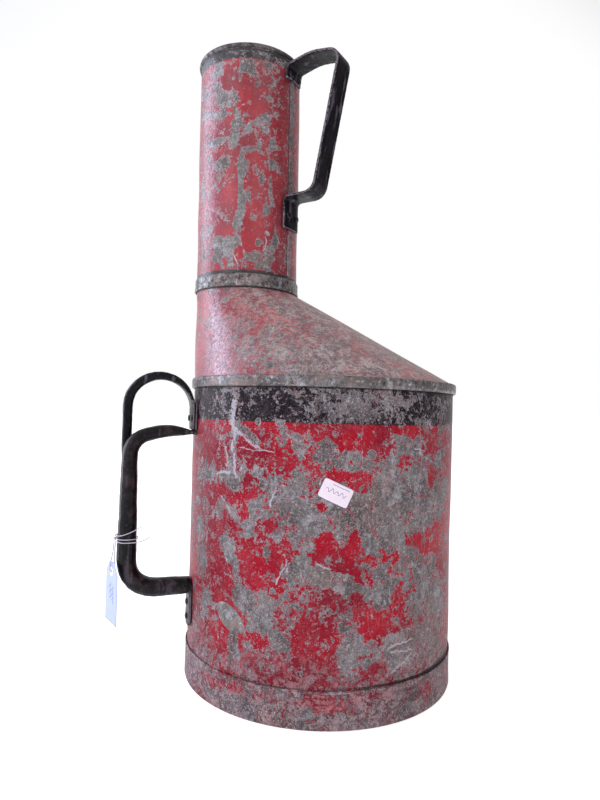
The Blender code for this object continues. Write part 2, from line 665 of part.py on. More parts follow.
def make_tag(finishes, root):
    """A blank card tag that hangs on a string from the grip's leg."""
    origin, outward, sideways = standing_plane(0.0, BODY_HANDLE_AZIMUTH)
    leg = BODY_RADIUS + GRIP_REACH
    outer_side = leg + 0.0176 / 2

    def spot(r, side, height):
        return origin + outward * r + sideways * side + Vector((0, 0, height))

    # Card, with its two upper corners cut off and a hole for the string.
    card_r = outer_side + TAG_STANDOFF
    hole_height = TIE_HEIGHT - STRING_DROP
    top = hole_height + TAG_HOLE_DROP
    half = TAG_WIDTH / 2
    shape = bmesh.new()
    outline = [(-half, -TAG_HEIGHT), (half, -TAG_HEIGHT), (half, -TAG_CLIP), (half - TAG_CLIP, 0),
               (TAG_CLIP - half, 0), (-half, -TAG_CLIP)]
    face = shape.faces.new([shape.verts.new((x, 0, z)) for x, z in outline])
    grown = bmesh.ops.extrude_face_region(shape, geom=[face])
    for piece in grown["geom"]:
        if isinstance(piece, bmesh.types.BMVert):
            piece.co.y = TAG_THICKNESS
    bmesh.ops.translate(shape, vec=(0, -TAG_THICKNESS / 2, 0), verts=shape.verts)
    card = new_object("tag_card", finish_mesh("tag_card", shape), finishes["paper"], root)
    facing = math.radians(BODY_HANDLE_AZIMUTH + 90 + TAG_YAW)
    card.matrix_local = Matrix.Translation(spot(card_r, 0, top)) @ Matrix.Rotation(facing, 4, "Z")
    punch_place = Matrix.Translation(spot(card_r, 0, hole_height)) @ Matrix.Rotation(facing, 4, "Z")
    punch_place = punch_place @ Matrix.Rotation(math.radians(90), 4, "X")
    punch = lathe("tag_punch", [(TAG_HOLE_RADIUS, -0.003), (TAG_HOLE_RADIUS, 0.003)], 12, punch_place,
                  finishes["paper"], root)
    hide_guide(punch)
    drill(card, [punch])

    # Hanging string: down outside the card, through its hole, and back up inside it.
    knot_r = outer_side + 0.0019
    bend_centre = (card_r, hole_height + STRING_BEND)
    bend = arc_points(bend_centre, STRING_BEND, 0, -180, 8)
    start = TIE_HEIGHT - 0.0037
    strand = [spot(knot_r + 0.0007, 0, start), spot(knot_r + 0.0012, 0, start - 0.008),
              spot(card_r + STRING_BEND, 0, bend_centre[1] + 0.004)]
    strand += [spot(r, 0, z) for r, z in bend]
    strand += [spot(card_r - STRING_BEND, 0, bend_centre[1] + 0.004), spot(knot_r - 0.0003, 0, start - 0.008),
               spot(knot_r - 0.0007, 0, start)]
    tube("tag_string", smooth_line(strand, 2), finishes["cotton"], root)

    # The turn of string round the grip, with its knot on the outer side.
    half_side = GRIP_WIDTH / 2 + GAP + STRING_RADIUS
    half_out = 0.0176 / 2 + GAP + STRING_RADIUS
    shape = bmesh.new()
    turns, around = 24, 8
    power = 2 / 2.5
    loops = []
    for k in range(turns):
        angle = 2 * math.pi * k / turns
        out = half_out * math.copysign(abs(math.cos(angle)) ** power, math.cos(angle))
        side = half_side * math.copysign(abs(math.sin(angle)) ** power, math.sin(angle))
        normal = Vector((math.cos(angle) / half_out, math.sin(angle) / half_side)).normalized()
        loop = []
        for j in range(around):
            a = 2 * math.pi * j / around
            swell = STRING_RADIUS * math.cos(a)
            point = spot(leg + out + normal.x * swell, side + normal.y * swell,
                         TIE_HEIGHT + STRING_RADIUS * math.sin(a))
            loop.append(shape.verts.new(point))
        loops.append(loop)
    for k in range(turns):
        a, b = loops[k], loops[(k + 1) % turns]
        for j in range(around):
            n = (j + 1) % around
            shape.faces.new((a[j], a[n], b[n], b[j]))
    tie = new_object("tag_string_tie", finish_mesh("tag_string_tie", shape), finishes["cotton"], root)
    bead = bmesh.new()
    bmesh.ops.create_icosphere(bead, subdivisions=2, radius=0.0013,
                               matrix=Matrix.Translation(spot(knot_r - 0.0002, 0, TIE_HEIGHT)))
    joined(tie, new_object("knot_bead", finish_mesh("knot_bead", bead), finishes["cotton"], root))

    # The two loose ends run across the front of the leg and stick out past it.
    clear = half_side + 0.0004
    rise = 0.0013 + GAP + STRING_RADIUS
    upper = [spot(leg + 0.0060, -clear + 0.0012, TIE_HEIGHT + rise),
             spot(leg + half_out + 0.0002, -0.0050, TIE_HEIGHT + rise),
             spot(leg + half_out + 0.0012, 0.0, TIE_HEIGHT + rise + 0.0002),
             spot(leg + half_out - 0.0010, 0.0055, TIE_HEIGHT + rise + 0.0008),
             spot(leg + 0.0050, clear - 0.0010, TIE_HEIGHT + rise + 0.0020),
             spot(leg, clear + 0.0002, TIE_HEIGHT + rise + 0.0038),
             spot(leg - 0.0060, clear + 0.0005, TIE_HEIGHT + rise + 0.0065),
             spot(leg - 0.0115, clear + 0.0008, TIE_HEIGHT + rise + 0.0098)]
    lower = [spot(leg + 0.0060, -clear + 0.0012, TIE_HEIGHT - rise),
             spot(leg + half_out + 0.0002, -0.0050, TIE_HEIGHT - rise),
             spot(leg + half_out + 0.0012, 0.0, TIE_HEIGHT - rise - 0.0002),
             spot(leg + half_out - 0.0010, 0.0055, TIE_HEIGHT - rise - 0.0004),
             spot(leg + 0.0050, clear - 0.0010, TIE_HEIGHT - rise - 0.0006),
             spot(leg, clear + 0.0002, TIE_HEIGHT - rise - 0.0006),
             spot(leg - 0.0080, clear + 0.0005, TIE_HEIGHT - rise - 0.0002),
             spot(leg - 0.0140, clear + 0.0010, TIE_HEIGHT - rise + 0.0014),
             spot(leg - 0.0190, clear + 0.0016, TIE_HEIGHT - rise + 0.0042)]
    tube("tag_string_end_upper", smooth_line(upper, 4), finishes["cotton"], root)
    tube("tag_string_end_lower", smooth_line(lower, 4), finishes["cotton"], root)


# ---- assembly ----
def centre_on_ground(root):
    """Moves the whole object so that the origin is under the middle of its box, the tag left out."""
    bpy.context.view_layer.update()
    graph = bpy.context.evaluated_depsgraph_get()
    low, high = Vector((1e9, 1e9)), Vector((-1e9, -1e9))
    for item in root.children:
        if item.hide_render or item.name in TAG_OBJECTS:
            continue
        shown = item.evaluated_get(graph)
        for corner in shown.bound_box:
            spot = item.matrix_world @ Vector(corner)
            low = Vector((min(low.x, spot.x), min(low.y, spot.y)))
            high = Vector((max(high.x, spot.x), max(high.y, spot.y)))
    root.location.x = -(low.x + high.x) / 2
    root.location.y = -(low.y + high.y) / 2


def main():
    for old in list(bpy.data.objects):
        bpy.data.objects.remove(old)
    root = bpy.data.objects.new("measuring_can", None)
    bpy.context.scene.collection.objects.link(root)
    finishes = make_materials()
    body = make_body(finishes, root)
    make_shoulder(finishes, root)
    neck = make_neck(finishes, root)
    make_neck_handle(neck, finishes, root)
    make_body_handle(body, finishes, root)
    make_price_label(finishes, root)
    make_tag(finishes, root)
    centre_on_ground(root)


main()
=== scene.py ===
"""Looks for the measuring can: worn paint over zinc, black enamel handles, tag and sticker."""

import math

import bpy
import numpy as np
from mathutils import Matrix, Vector, noise


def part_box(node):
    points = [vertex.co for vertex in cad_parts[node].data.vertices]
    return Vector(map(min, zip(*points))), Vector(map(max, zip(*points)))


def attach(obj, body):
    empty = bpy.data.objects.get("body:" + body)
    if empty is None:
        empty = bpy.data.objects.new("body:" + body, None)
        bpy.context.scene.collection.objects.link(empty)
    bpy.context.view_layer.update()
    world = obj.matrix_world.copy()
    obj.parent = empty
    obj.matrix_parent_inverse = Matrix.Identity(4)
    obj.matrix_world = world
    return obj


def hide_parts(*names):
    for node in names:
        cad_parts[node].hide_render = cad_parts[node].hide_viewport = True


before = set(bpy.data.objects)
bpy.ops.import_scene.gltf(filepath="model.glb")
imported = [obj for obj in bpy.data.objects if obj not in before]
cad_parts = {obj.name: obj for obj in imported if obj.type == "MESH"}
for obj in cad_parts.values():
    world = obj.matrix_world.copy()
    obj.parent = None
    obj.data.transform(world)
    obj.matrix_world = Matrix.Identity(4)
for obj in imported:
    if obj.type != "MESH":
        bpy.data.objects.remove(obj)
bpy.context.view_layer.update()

# ---------------------------------------------------------------- where things are, in metres and degrees
BODY_LOW, BODY_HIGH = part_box("body_shell")
BAND_LOW, BAND_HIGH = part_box("base_band")
NECK_LOW, NECK_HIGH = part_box("neck_tube")
RIM_LOW, RIM_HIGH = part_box("shoulder_band")
COLLAR_LOW, COLLAR_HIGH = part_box("neck_collar")
CONE_LOW, CONE_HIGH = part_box("shoulder_cone")
BODY_RADIUS = (BODY_HIGH[1] - BODY_LOW[1]) / 2
AXIS_X = (BODY_LOW[0] + BODY_HIGH[0]) / 2
NECK_RADIUS = 0.0511
NECK_OFFSET = 0.0812           # how far the neck's foot stands to the left of the body's axis
NECK_LEAN = 0.009
CONE_START = 0.2845
CONE_TOP = 0.3720
SHEET = 0.0012
BODY_TOP = BODY_HIGH[2]
BLACK_EDGE = 0.2457            # lower edge of the black band round the body
SEAM_RISE = 0.0009
SEAM_WIDTH = 0.0052
FRONT = -90.0
BODY_SEAM = 70.0
CONE_SEAM = 125.0
NECK_SEAM = -32.0
HANDLE = 200.0
STICKER = -86.5
# The last field steers painted shade in joints and on the right side, together with dark grime.
# The second field steers pale abrasion together with a painted bluish sheen.
FIELDS = ("bare", "haze", "dull", "speck", "mark", "dark")


def neck_axis(z):
    """X of the neck's axis at a height."""
    return AXIS_X - NECK_OFFSET - NECK_LEAN * (z - CONE_TOP)


# ---------------------------------------------------------------- shader helpers
class Nodes:
    """Short calls for building one material's node tree."""

    def __init__(self, name):
        self.mat = bpy.data.materials.new(name)
        self.mat.use_nodes = True
        self.tree = self.mat.node_tree
        self.tree.nodes.clear()
        self.shader = self.new("BsdfPrincipled")
        self.put(self.new("OutputMaterial").inputs[0], self.shader.outputs[0])
        self.coords = self.new("TexCoord").outputs["Object"]
        split = self.new("SeparateXYZ")
        self.put(split.inputs[0], self.coords)
        self.z = split.outputs[2]

    def new(self, kind, **settings):
        node = self.tree.nodes.new("ShaderNode" + kind)
        for key, value in settings.items():
            setattr(node, key, value)
        return node

    def put(self, socket, value):
        """Links an output to a socket, or sets the socket to a constant."""
        if isinstance(value, bpy.types.NodeSocket):
            self.tree.links.new(value, socket)
        elif isinstance(value, (tuple, list)) and len(value) == 3 and socket.type == "RGBA":
            socket.default_value = (*value, 1.0)
        else:
            socket.default_value = value

    def fill(self, node, **values):
        """Puts values into a node's inputs, named with _ for a space."""
        for key, value in values.items():
            self.put(node.inputs[key.replace("_", " ")], value)
        return node

    def math(self, kind, a, b=0.0):
        node = self.new("Math", operation=kind)
        self.put(node.inputs[0], a)
        self.put(node.inputs[1], b)
        return node.outputs[0]

    def times(self, a, b):
        return self.math("MULTIPLY", a, b)

    def less(self, a, b):
        return self.math("SUBTRACT", a, b)

    def most(self, a, b):
        return self.math("MAXIMUM", a, b)

    def centred(self, value):
        return self.less(value, 0.5)

    def total(self, first, *terms):
        """The first value plus each of the others times its weight."""
        for value, weight in terms:
            first = self.math("ADD", first, value if weight == 1 else self.times(value, weight))
        return first

    def ramp(self, value, low, high, out_low=0.0, out_high=1.0):
        """A smooth step of value from low to high."""
        node = self.new("MapRange", interpolation_type="SMOOTHSTEP")
        for socket, v in zip(node.inputs, (value, low, high, out_low, out_high)):
            self.put(socket, v)
        return node.outputs[0]

    def noise(self, scale, detail=3.0, rough=0.55, stretch=(1, 1, 1), shift=(0, 0, 0), warp=0.0,
              at=None, colour=False):
        """Fractal noise at a scale in cycles a metre."""
        place = self.fill(self.new("Mapping"), Scale=stretch, Location=shift,
                          Vector=self.coords if at is None else at)
        node = self.fill(self.new("TexNoise"), Vector=place.outputs[0], Scale=scale, Detail=detail,
                         Roughness=rough, Distortion=warp)
        return node.outputs["Color" if colour else 0]

    def cells(self, scale, at):
        """Round cells: the distance from each one's middle, and its own random colour."""
        node = self.fill(self.new("TexVoronoi"), Vector=at, Scale=scale)
        return node.outputs["Distance"], node.outputs["Color"]

    def mix(self, share, a, b):
        """Colour a, or b where share is 1."""
        node = self.new("Mix", data_type="RGBA")
        for socket, value in zip((node.inputs[0], node.inputs[6], node.inputs[7]), (share, a, b)):
            self.put(socket, value)
        return node.outputs[2]

    def layers(self, colour, *rows):
        """Lays colours over one another: (value, where it starts, where it is full, share, colour)."""
        for value, low, high, share, over in rows:
            colour = self.mix(self.times(self.ramp(value, low, high), share), colour, over)
        return colour

    def blend(self, share, a, b):
        """Number a, or b where share is 1."""
        node = self.new("Mix", data_type="FLOAT")
        for socket, value in zip((node.inputs[0], node.inputs[2], node.inputs[3]), (share, a, b)):
            self.put(socket, value)
        return node.outputs[0]

    def field(self, name):
        return self.new("Attribute", attribute_name=name).outputs["Fac"]

    def shifted(self, amount, scale, detail):
        """The object's coordinates pushed about by noise, for ragged edges."""
        centre = self.new("VectorMath", operation="SUBTRACT")
        self.put(centre.inputs[0], self.noise(scale, detail, 0.6, colour=True))
        centre.inputs[1].default_value = (0.5, 0.5, 0.5)
        scaled = self.new("VectorMath", operation="SCALE")
        self.put(scaled.inputs[0], centre.outputs[0])
        scaled.inputs["Scale"].default_value = amount
        total = self.new("VectorMath")
        self.put(total.inputs[0], self.coords)
        self.put(total.inputs[1], scaled.outputs[0])
        return total.outputs[0]

    def bump(self, height, distance, strength=1.0, after=None):
        node = self.fill(self.new("Bump"), Strength=strength, Distance=distance, Height=height)
        if after is not None:
            self.put(node.inputs["Normal"], after)
        return node.outputs[0]

    def finish(self, colour, rough, metal=0.0, normal=None, spec=0.5):
        self.fill(self.shader, Base_Color=colour, Roughness=rough, Metallic=metal, Specular_IOR_Level=spec)
        if normal is not None:
            self.put(self.shader.inputs["Normal"], normal)
        return self.mat


def linear(r, g, b):
    """Linear colour from display values 0 to 255."""
    out = []
    for v in (r, g, b):
        v = v / 255
        out.append(v / 12.92 if v <= 0.04045 else ((v + 0.055) / 1.055) ** 2.4)
    return tuple(out)


# ---------------------------------------------------------------- materials
RED = linear(150, 10, 34)
RED_DEEP = linear(118, 6, 30)
RED_ORANGE = linear(166, 18, 28)
ZINC = linear(110, 107, 108)
ZINC_LIGHT = linear(168, 166, 173)
ZINC_DARK = linear(72, 68, 69)
STAIN = linear(112, 94, 88)
BLACK = linear(14, 12, 17)


def zinc_colour(n):
    """Mottled weathered zinc."""
    grain = n.noise(330, 5, 0.75, shift=(0, 5, 2))
    streak = n.noise(85, 4, 0.65, stretch=(1, 1, 0.2), shift=(7, 0, 0))
    c = n.mix(n.ramp(n.noise(30, 4, 0.6, shift=(3, 1, 0)), 0.38, 0.64), ZINC_DARK, ZINC)
    return n.layers(
        c, (grain, 0.50, 0.68, 0.75, ZINC_LIGHT), (streak, 0.54, 0.72, 0.45, ZINC_LIGHT),
        (n.noise(21, 3, 0.6, shift=(0, 0, 9)), 0.50, 0.70, 0.5, STAIN),
        (grain, 0.47, 0.34, 0.62, linear(66, 58, 58)),
        (n.noise(72, 5, 0.72, shift=(8, 1, 5), warp=0.5), 0.53, 0.62, 0.42, ZINC_LIGHT),
        (n.noise(110, 5, 0.7, shift=(4, 4, 4)), 0.56, 0.64, 0.62, linear(76, 67, 68)))


def red_colour(n):
    """Two reds with a fine vertical grain."""
    c = n.mix(n.ramp(n.noise(18, 2, 0.5, shift=(9, 2, 4)), 0.38, 0.66), RED_DEEP, RED)
    fine = n.noise(130, 5, 0.75, stretch=(1, 1, 0.5), shift=(1, 1, 8))
    return n.layers(c, (fine, 0.50, 0.72, 0.6, RED_ORANGE))


def chipped(name, coarse=1.25, medium=1.8, fine=1.9, small=1.25, black_from=None, black_to=None,
            grime_light=(152, 128, 134), grime_dark=(54, 38, 44), speck_scale=330, gloss=0.06):
    """Paint that has flaked off zinc, steered by the FIELDS set on the mesh."""
    n = Nodes(name)
    bare_field, haze_field, dull_field, speck_field, mark_field, dark_field = map(n.field, FIELDS)
    ragged = n.shifted(0.0060, 150, 5.0)
    big = n.centred(n.noise(46, 4, 0.6, at=ragged, shift=(2, 6, 1)))
    middle = n.noise(135, 5, 0.68, at=ragged, shift=(5, 1, 3))
    mid = n.centred(middle)
    minor = n.centred(n.noise(255, 5, 0.7, at=ragged, shift=(1, 4, 9)))
    tiny = n.centred(n.noise(520, 4, 0.75, shift=(8, 8, 1)))
    level = n.total(n.times(big, coarse), (mid, medium), (minor, fine), (tiny, small),
                    (n.centred(bare_field), 1))
    # round blotches where a knock has lifted the paint
    far, tone = n.cells(105, n.shifted(0.0045, 190, 8.0))
    size = n.ramp(n.total(tone, (bare_field, 0.35)), 0.68, 1.12, 0.0, 0.66)
    level = n.most(level, n.times(n.less(size, n.math("ADD", far, 0.15)), 2.2))
    bare = n.ramp(level, -0.02, 0.02)
    # small chips and specks through the paint
    clump = n.total(n.times(n.centred(n.noise(60, 4, 0.65, shift=(3, 3, 0))), 1.1), (speck_field, 1))
    reach = n.ramp(clump, 0.10, 1.0, 0.02, 0.55)
    specks, _ = n.cells(speck_scale, n.shifted(0.0022, 420, 2.0))
    speck = n.ramp(n.less(n.times(reach, 0.7), specks), -0.02, 0.05)
    dust = n.ramp(n.total(n.noise(640, 5, 0.8, shift=(4, 8, 1)), (reach, 0.24)), 0.655, 0.69)
    bare = n.most(bare, n.times(n.most(speck, dust), 0.95))
    # pale rim of torn paint round each bare patch
    rim = n.times(n.ramp(level, -0.065, -0.015), n.ramp(level, 0.010, 0.075, 1.0, 0.0))
    rim = n.times(rim, n.ramp(n.noise(42, 3, 0.6, shift=(6, 6, 0)), 0.36, 0.58, 0.45, 1.0))
    paint = red_colour(n)
    if black_from is not None:
        edge = n.total(n.z, (mid, 0.0008))
        black = n.ramp(edge, black_from - 0.0003, black_from + 0.0003)
        if black_to is not None:
            black = n.most(n.less(1.0, black), n.ramp(edge, black_to - 0.0003, black_to + 0.0003))
        worn = n.mix(n.ramp(n.noise(190, 5, 0.7, shift=(0, 9, 9)), 0.48, 0.70), BLACK, linear(27, 25, 35))
        paint = n.mix(black, paint, worn)
    # thin stains of red left in the bare metal
    remains = n.noise(110, 5, 0.75, at=ragged, shift=(4, 0, 7))
    thin = n.times(n.ramp(remains, 0.54, 0.62), n.ramp(level, 0.45, 0.05))
    zinc = n.mix(n.times(thin, 0.55), zinc_colour(n), linear(134, 50, 60))
    colour = n.mix(bare, paint, zinc)
    colour = n.mix(n.times(rim, 0.95), colour, linear(186, 176, 184))
    # fine pale abrasion, and a painted bluish sheen: the same pale layer laid thick where the window's
    # reflection falls on the left of the neck and shoulder
    rub = n.noise(560, 5, 0.85, stretch=(1, 1, 0.6), shift=(6, 2, 2))
    rubbed_and_sheen = n.times(n.ramp(n.total(rub, (haze_field, 0.16)), 0.56, 0.66), n.ramp(haze_field, 0.0, 0.9))
    colour = n.mix(n.times(rubbed_and_sheen, 0.72), colour, linear(192, 180, 204))

    def thin_line(value, at):
        return n.ramp(n.math("ABSOLUTE", n.less(value, at)), 0.0012, 0.0032, 1.0, 0.0)

    # scratches: fine random ones and the drawn ones
    flat_ones = n.noise(55, 2, 0.5, stretch=(1.0, 1.0, 14.0), warp=0.6, shift=(0, 2, 5))
    steep_ones = n.noise(48, 2, 0.5, stretch=(6.0, 6.0, 0.7), warp=0.8, shift=(5, 2, 0))
    lines = n.most(thin_line(flat_ones, 0.53), thin_line(steep_ones, 0.49))
    lines = n.times(lines, n.ramp(n.noise(19, 2, 0.5, shift=(1, 7, 3)), 0.50, 0.60))
    drawn = n.ramp(n.total(mark_field, (n.total(n.times(tiny, 1.3), (mid, 1.6)), 1)), 0.34, 0.52)
    lines = n.most(n.times(lines, 0.6), drawn)
    colour = n.mix(n.times(lines, 0.75), colour, linear(178, 172, 184))
    # dirt: a fine mauve-grey mottle
    soil = n.noise(300, 6, 0.8, shift=(2, 2, 2))
    cloud = n.noise(70, 5, 0.7, shift=(1, 2, 2))
    soil_colour = n.mix(n.ramp(n.total(soil, (n.centred(cloud), 0.6)), 0.48, 0.56),
                        linear(*grime_dark), linear(*grime_light))
    red_specks = n.noise(210, 5, 0.8, shift=(7, 2, 2))
    soil_colour = n.layers(soil_colour, (red_specks, 0.53, 0.60, 0.6, linear(136, 44, 56)))
    dirt = n.times(dull_field, n.ramp(n.total(cloud, (n.centred(soil), 0.8)), 0.22, 0.60))
    colour = n.mix(n.times(dirt, 0.82), colour, soil_colour)
    # grit the size of a pinhead, over paint and metal alike, and then the last field's dark colour: painted
    # shade in the joints and on the right side, together with dark grime
    grit = n.noise(900, 3, 0.85, shift=(9, 0, 9))
    colour = n.layers(
        colour, (n.less(grit, n.times(bare, 0.045)), 0.41, 0.33, 0.6, linear(48, 34, 38)),
        (n.total(grit, (bare, 0.055)), 0.64, 0.71, 0.7, linear(206, 200, 204)),
        (n.total(dark_field, (tiny, 0.5)), 0.25, 0.75, 0.88, linear(34, 26, 30)))
    rough = n.blend(bare, n.ramp(middle, 0.3, 0.7, 0.30, 0.42), n.ramp(middle, 0.3, 0.7, 0.46, 0.62))
    rough = n.blend(dirt, rough, 0.60)
    normal = n.bump(n.noise(620, 4, 0.7, shift=(1, 2, 3)), 0.00022, 0.7)
    normal = n.bump(n.less(1.0, n.ramp(level, -0.03, 0.02)), 0.00035, 0.9, normal)
    normal = n.bump(n.noise(60, 3, 0.5, shift=(5, 5, 5)), 0.0012, 0.5, normal)
    return n.finish(colour, rough, n.times(bare, 0.30), normal, spec=gloss)


def bare_metal(name, chips, base=None):
    """Bare zinc with stains, drips and small black chips."""
    n = Nodes(name)
    drips = n.noise(150, 3, 0.6, stretch=(1, 1, 0.12), shift=(2, 2, 0))
    blots = n.noise(190, 4, 0.65, shift=(7, 3, 1))
    grit = n.noise(900, 3, 0.85, shift=(9, 0, 9))
    c = n.layers(
        zinc_colour(n), (n.noise(75, 4, 0.7, shift=(1, 0, 4)), 0.46, 0.66, 0.55, linear(126, 100, 92)),
        (drips, 0.54, 0.72, 0.6, linear(70, 60, 62)),
        (blots, 0.62 - 0.1 * chips, 0.68 - 0.1 * chips, 0.85, linear(42, 38, 44)),
        (n.noise(240, 3, 0.6, shift=(0, 0, 4)), 0.60, 0.72, 0.7, linear(186, 182, 192)),
        (grit, 0.44, 0.34, 0.6, linear(40, 32, 34)), (grit, 0.62, 0.70, 0.55, linear(200, 194, 198)))
    if base is not None:
        c = n.mix(0.45, c, base)
    normal = n.bump(n.noise(520, 3, 0.6), 0.00022, 0.6)
    normal = n.bump(n.noise(90, 3, 0.5), 0.0008, 0.5, normal)
    return n.finish(c, n.ramp(blots, 0.35, 0.7, 0.38, 0.58), 0.45, normal)


def enamel(name, wear, brown=0.0, scratched=0.35, gloss=0.18):
    """Old black enamel, semi-gloss, worn to grey on its edges."""
    n = Nodes(name)
    broad = n.noise(45, 4, 0.6)
    fine = n.noise(380, 4, 0.7, shift=(2, 0, 2))
    c = n.mix(n.ramp(broad, 0.35, 0.7), linear(8, 7, 11), linear(20, 18, 24))
    if brown:
        c = n.layers(c, (n.noise(85, 4, 0.65, shift=(3, 0, 0)), 0.45, 0.68, brown, linear(82, 60, 60)))
    scuff = n.noise(170, 3, 0.6, stretch=(1, 1, 0.10), shift=(1, 3, 0))
    c = n.layers(
        c, (fine, 0.60, 0.74, 0.45, linear(112, 104, 112)),
        (n.total(n.field("edge"), (n.centred(fine), 1.2)), 0.62, 0.95, wear, linear(142, 130, 140)),
        (scuff, 0.55, 0.66, scratched, linear(104, 98, 112)))
    normal = n.bump(n.noise(110, 3, 0.55), 0.0011, 0.6)
    normal = n.bump(n.noise(700, 2, 0.5), 0.00010, 0.5, normal)
    return n.finish(c, n.ramp(broad, 0.3, 0.7, 0.30, 0.44), 0.0, normal, spec=gloss)


def shade(tint, share):
    return tuple(v * share for v in tint)


def card(name, tint, rough=0.55):
    n = Nodes(name)
    fibres = n.noise(900, 4, 0.7, stretch=(1, 1, 0.4))
    c = n.mix(n.ramp(fibres, 0.3, 0.7), shade(tint, 0.94), tint)
    c = n.layers(c, (n.noise(70, 3, 0.6), 0.52, 0.78, 0.25, shade(tint, 0.78)))
    return n.finish(c, rough, 0.0, n.bump(fibres, 0.00006, 0.6), spec=0.3)


def ink(name, colour):
    n = Nodes(name)
    thin = tuple(min(1, v * 1.8 + 0.01) for v in colour)
    return n.finish(n.mix(n.ramp(n.noise(500, 2, 0.5), 0.3, 0.7), colour, thin), 0.6, spec=0.2)


def thread(name, tint):
    n = Nodes(name)
    fuzz = n.noise(2400, 3, 0.7)
    c = n.mix(n.ramp(fuzz, 0.3, 0.75), shade(tint, 0.66), tint)
    return n.finish(c, 0.85, 0.0, n.bump(fuzz, 0.00012, 0.8), spec=0.2)


MATS = {
    "body": chipped("worn_red_body", black_from=BLACK_EDGE),
    "cone": chipped("worn_red_shoulder", coarse=0.9, medium=1.5, fine=1.9, small=1.9, speck_scale=420,
                    grime_light=(206, 190, 186), grime_dark=(140, 112, 114), gloss=0.5),
    "neck": chipped("worn_red_neck", coarse=1.0, medium=1.5, fine=1.5, small=0.9,
                    black_from=COLLAR_HIGH[2] + 0.0030, black_to=NECK_HIGH[2] - 0.0150, gloss=0.6),
    "band": chipped("scuffed_base_band", coarse=0.9, medium=1.8, fine=1.8, small=1.6,
                    grime_light=(156, 132, 138), grime_dark=(42, 28, 33)),
    "rim": bare_metal("stained_zinc_rim", 0.4),
    "collar": bare_metal("stained_zinc_collar", 0.75),
    "bottom": bare_metal("dull_zinc_bottom", 0.3),
    "inside": bare_metal("dull_zinc_inside", 0.35),
    "wire": bare_metal("mouth_wire_steel", 0.2),
    "mouth": bare_metal("darkened_mouth_roll", 1.0, linear(48, 44, 52)),
    "rivet": enamel("black_enamel_rivet", 0.12),
    "strap": enamel("black_enamel_strap", 0.55, scratched=0.42, gloss=0.10),
    "grip": enamel("black_enamel_grip", 0.4, brown=0.30, scratched=0.2, gloss=0.14),
    "card": card("tag_card", linear(164, 174, 214)),
    "label": card("price_label_paper", linear(222, 210, 224), 0.4),
    "pen": ink("pen_ink", linear(46, 44, 66)),
    "cotton": thread("cotton_string", linear(190, 184, 200)),
}


# ---------------------------------------------------------------- mesh helpers
def add_mesh(name, verts, faces, mat, body="can", replaces=()):
    """Puts a smooth mesh in the scene, riding on a body. Rows of points may come as one array."""
    mesh = bpy.data.meshes.new(name)
    mesh.from_pydata(np.reshape(verts, (-1, 3)).tolist(), [], faces)
    mesh.update()
    obj = bpy.data.objects.new(name, mesh)
    bpy.context.scene.collection.objects.link(obj)
    mesh.polygons.foreach_set("use_smooth", [True] * len(mesh.polygons))
    mesh.materials.append(mat)
    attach(obj, body)
    if replaces:
        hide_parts(*replaces)
    return obj


def set_field(obj, name, values):
    attr = obj.data.attributes.new(name, "FLOAT", "POINT")
    attr.data.foreach_set("value", np.asarray(values, dtype=np.float32))


def lattice(rows, cols):
    """Faces for a grid of rows x cols points that wraps round both ways."""
    r, c = np.meshgrid(np.arange(rows), np.arange(cols), indexing="ij")
    r2, c2 = (r + 1) % rows, (c + 1) % cols
    return np.stack([r * cols + c, r * cols + c2, r2 * cols + c2, r2 * cols + c], -1).reshape(-1, 4).tolist()


def around(count):
    """Evenly spread angles, as one row."""
    return np.linspace(0, 2 * math.pi, count, endpoint=False)[None, :]


def dense_front(front, back, half_turn=80.0):
    """Angles round an upright wall, closer together on the side with the label, as one row."""
    a = np.linspace(FRONT - half_turn, FRONT + half_turn, front, endpoint=False)
    b = np.linspace(FRONT + half_turn, FRONT + 360 - half_turn, back, endpoint=False)
    return np.radians(np.concatenate([a, b]))[None, :]


def ring(centre_x, radius, angle, z):
    """Points round upright circles, one row for each height."""
    points = np.broadcast_arrays(centre_x + radius * np.cos(angle), radius * np.sin(angle), z)
    return np.stack(points, -1)


def outline(pairs):
    """The two columns of a section's outline."""
    pairs = np.array(pairs)
    return pairs[:, :1], pairs[:, 1:]


def rise(value, start, width):
    """0 up to start, then evenly to 1 over the width."""
    return np.clip((value - start) / width, 0, 1)


def fall(value, end, width):
    """1, then evenly over the width to 0 at the end."""
    return np.clip((end - value) / width, 0, 1)


def bell(value, centre, width):
    """A soft peak of 1 at the centre."""
    return np.exp(-((value - centre) / width) ** 2)


def kept(values):
    return np.clip(values, 0, 1)


def wobble(angle, z, seed, cycles=3.0, tall=0.09):
    """Slow unevenness of hand-worked sheet, mostly between -1 and 1."""
    total = np.zeros(np.broadcast(angle, z).shape)
    rng = np.random.default_rng(seed)
    for k in range(14):
        m = rng.integers(1, int(4 * cycles))
        q = rng.uniform(0.3, 2.2) / tall
        power = rng.normal()
        wave = np.sin(m * angle + q * z * 2 * math.pi * 0.5 + rng.uniform(0, 6.28))
        total = total + power * wave / (1 + 0.25 * m)
    return total / 3.2


def turn_of(angle, centre):
    """Angle from a centre direction, -pi to pi."""
    return (angle - math.radians(centre) + math.pi) % (2 * math.pi) - math.pi


def along(angle, radius):
    """Millimetres round a wall from its front."""
    return turn_of(angle, FRONT) * radius * 1000


def patches(s, z, items):
    """Sum of soft ellipses: (s, z, half width, half height, lean, strength), millimetres and degrees."""
    total = np.zeros(np.broadcast(s, z).shape)
    for cs, cz, hs, hz, lean, power in items:
        t = math.radians(lean)
        ds, dz = s - cs, z - cz
        u = (ds * math.cos(t) + dz * math.sin(t)) / hs
        v = (-ds * math.sin(t) + dz * math.cos(t)) / hz
        total = total + power * np.exp(-((u * u + v * v) ** 1.4))
    return total


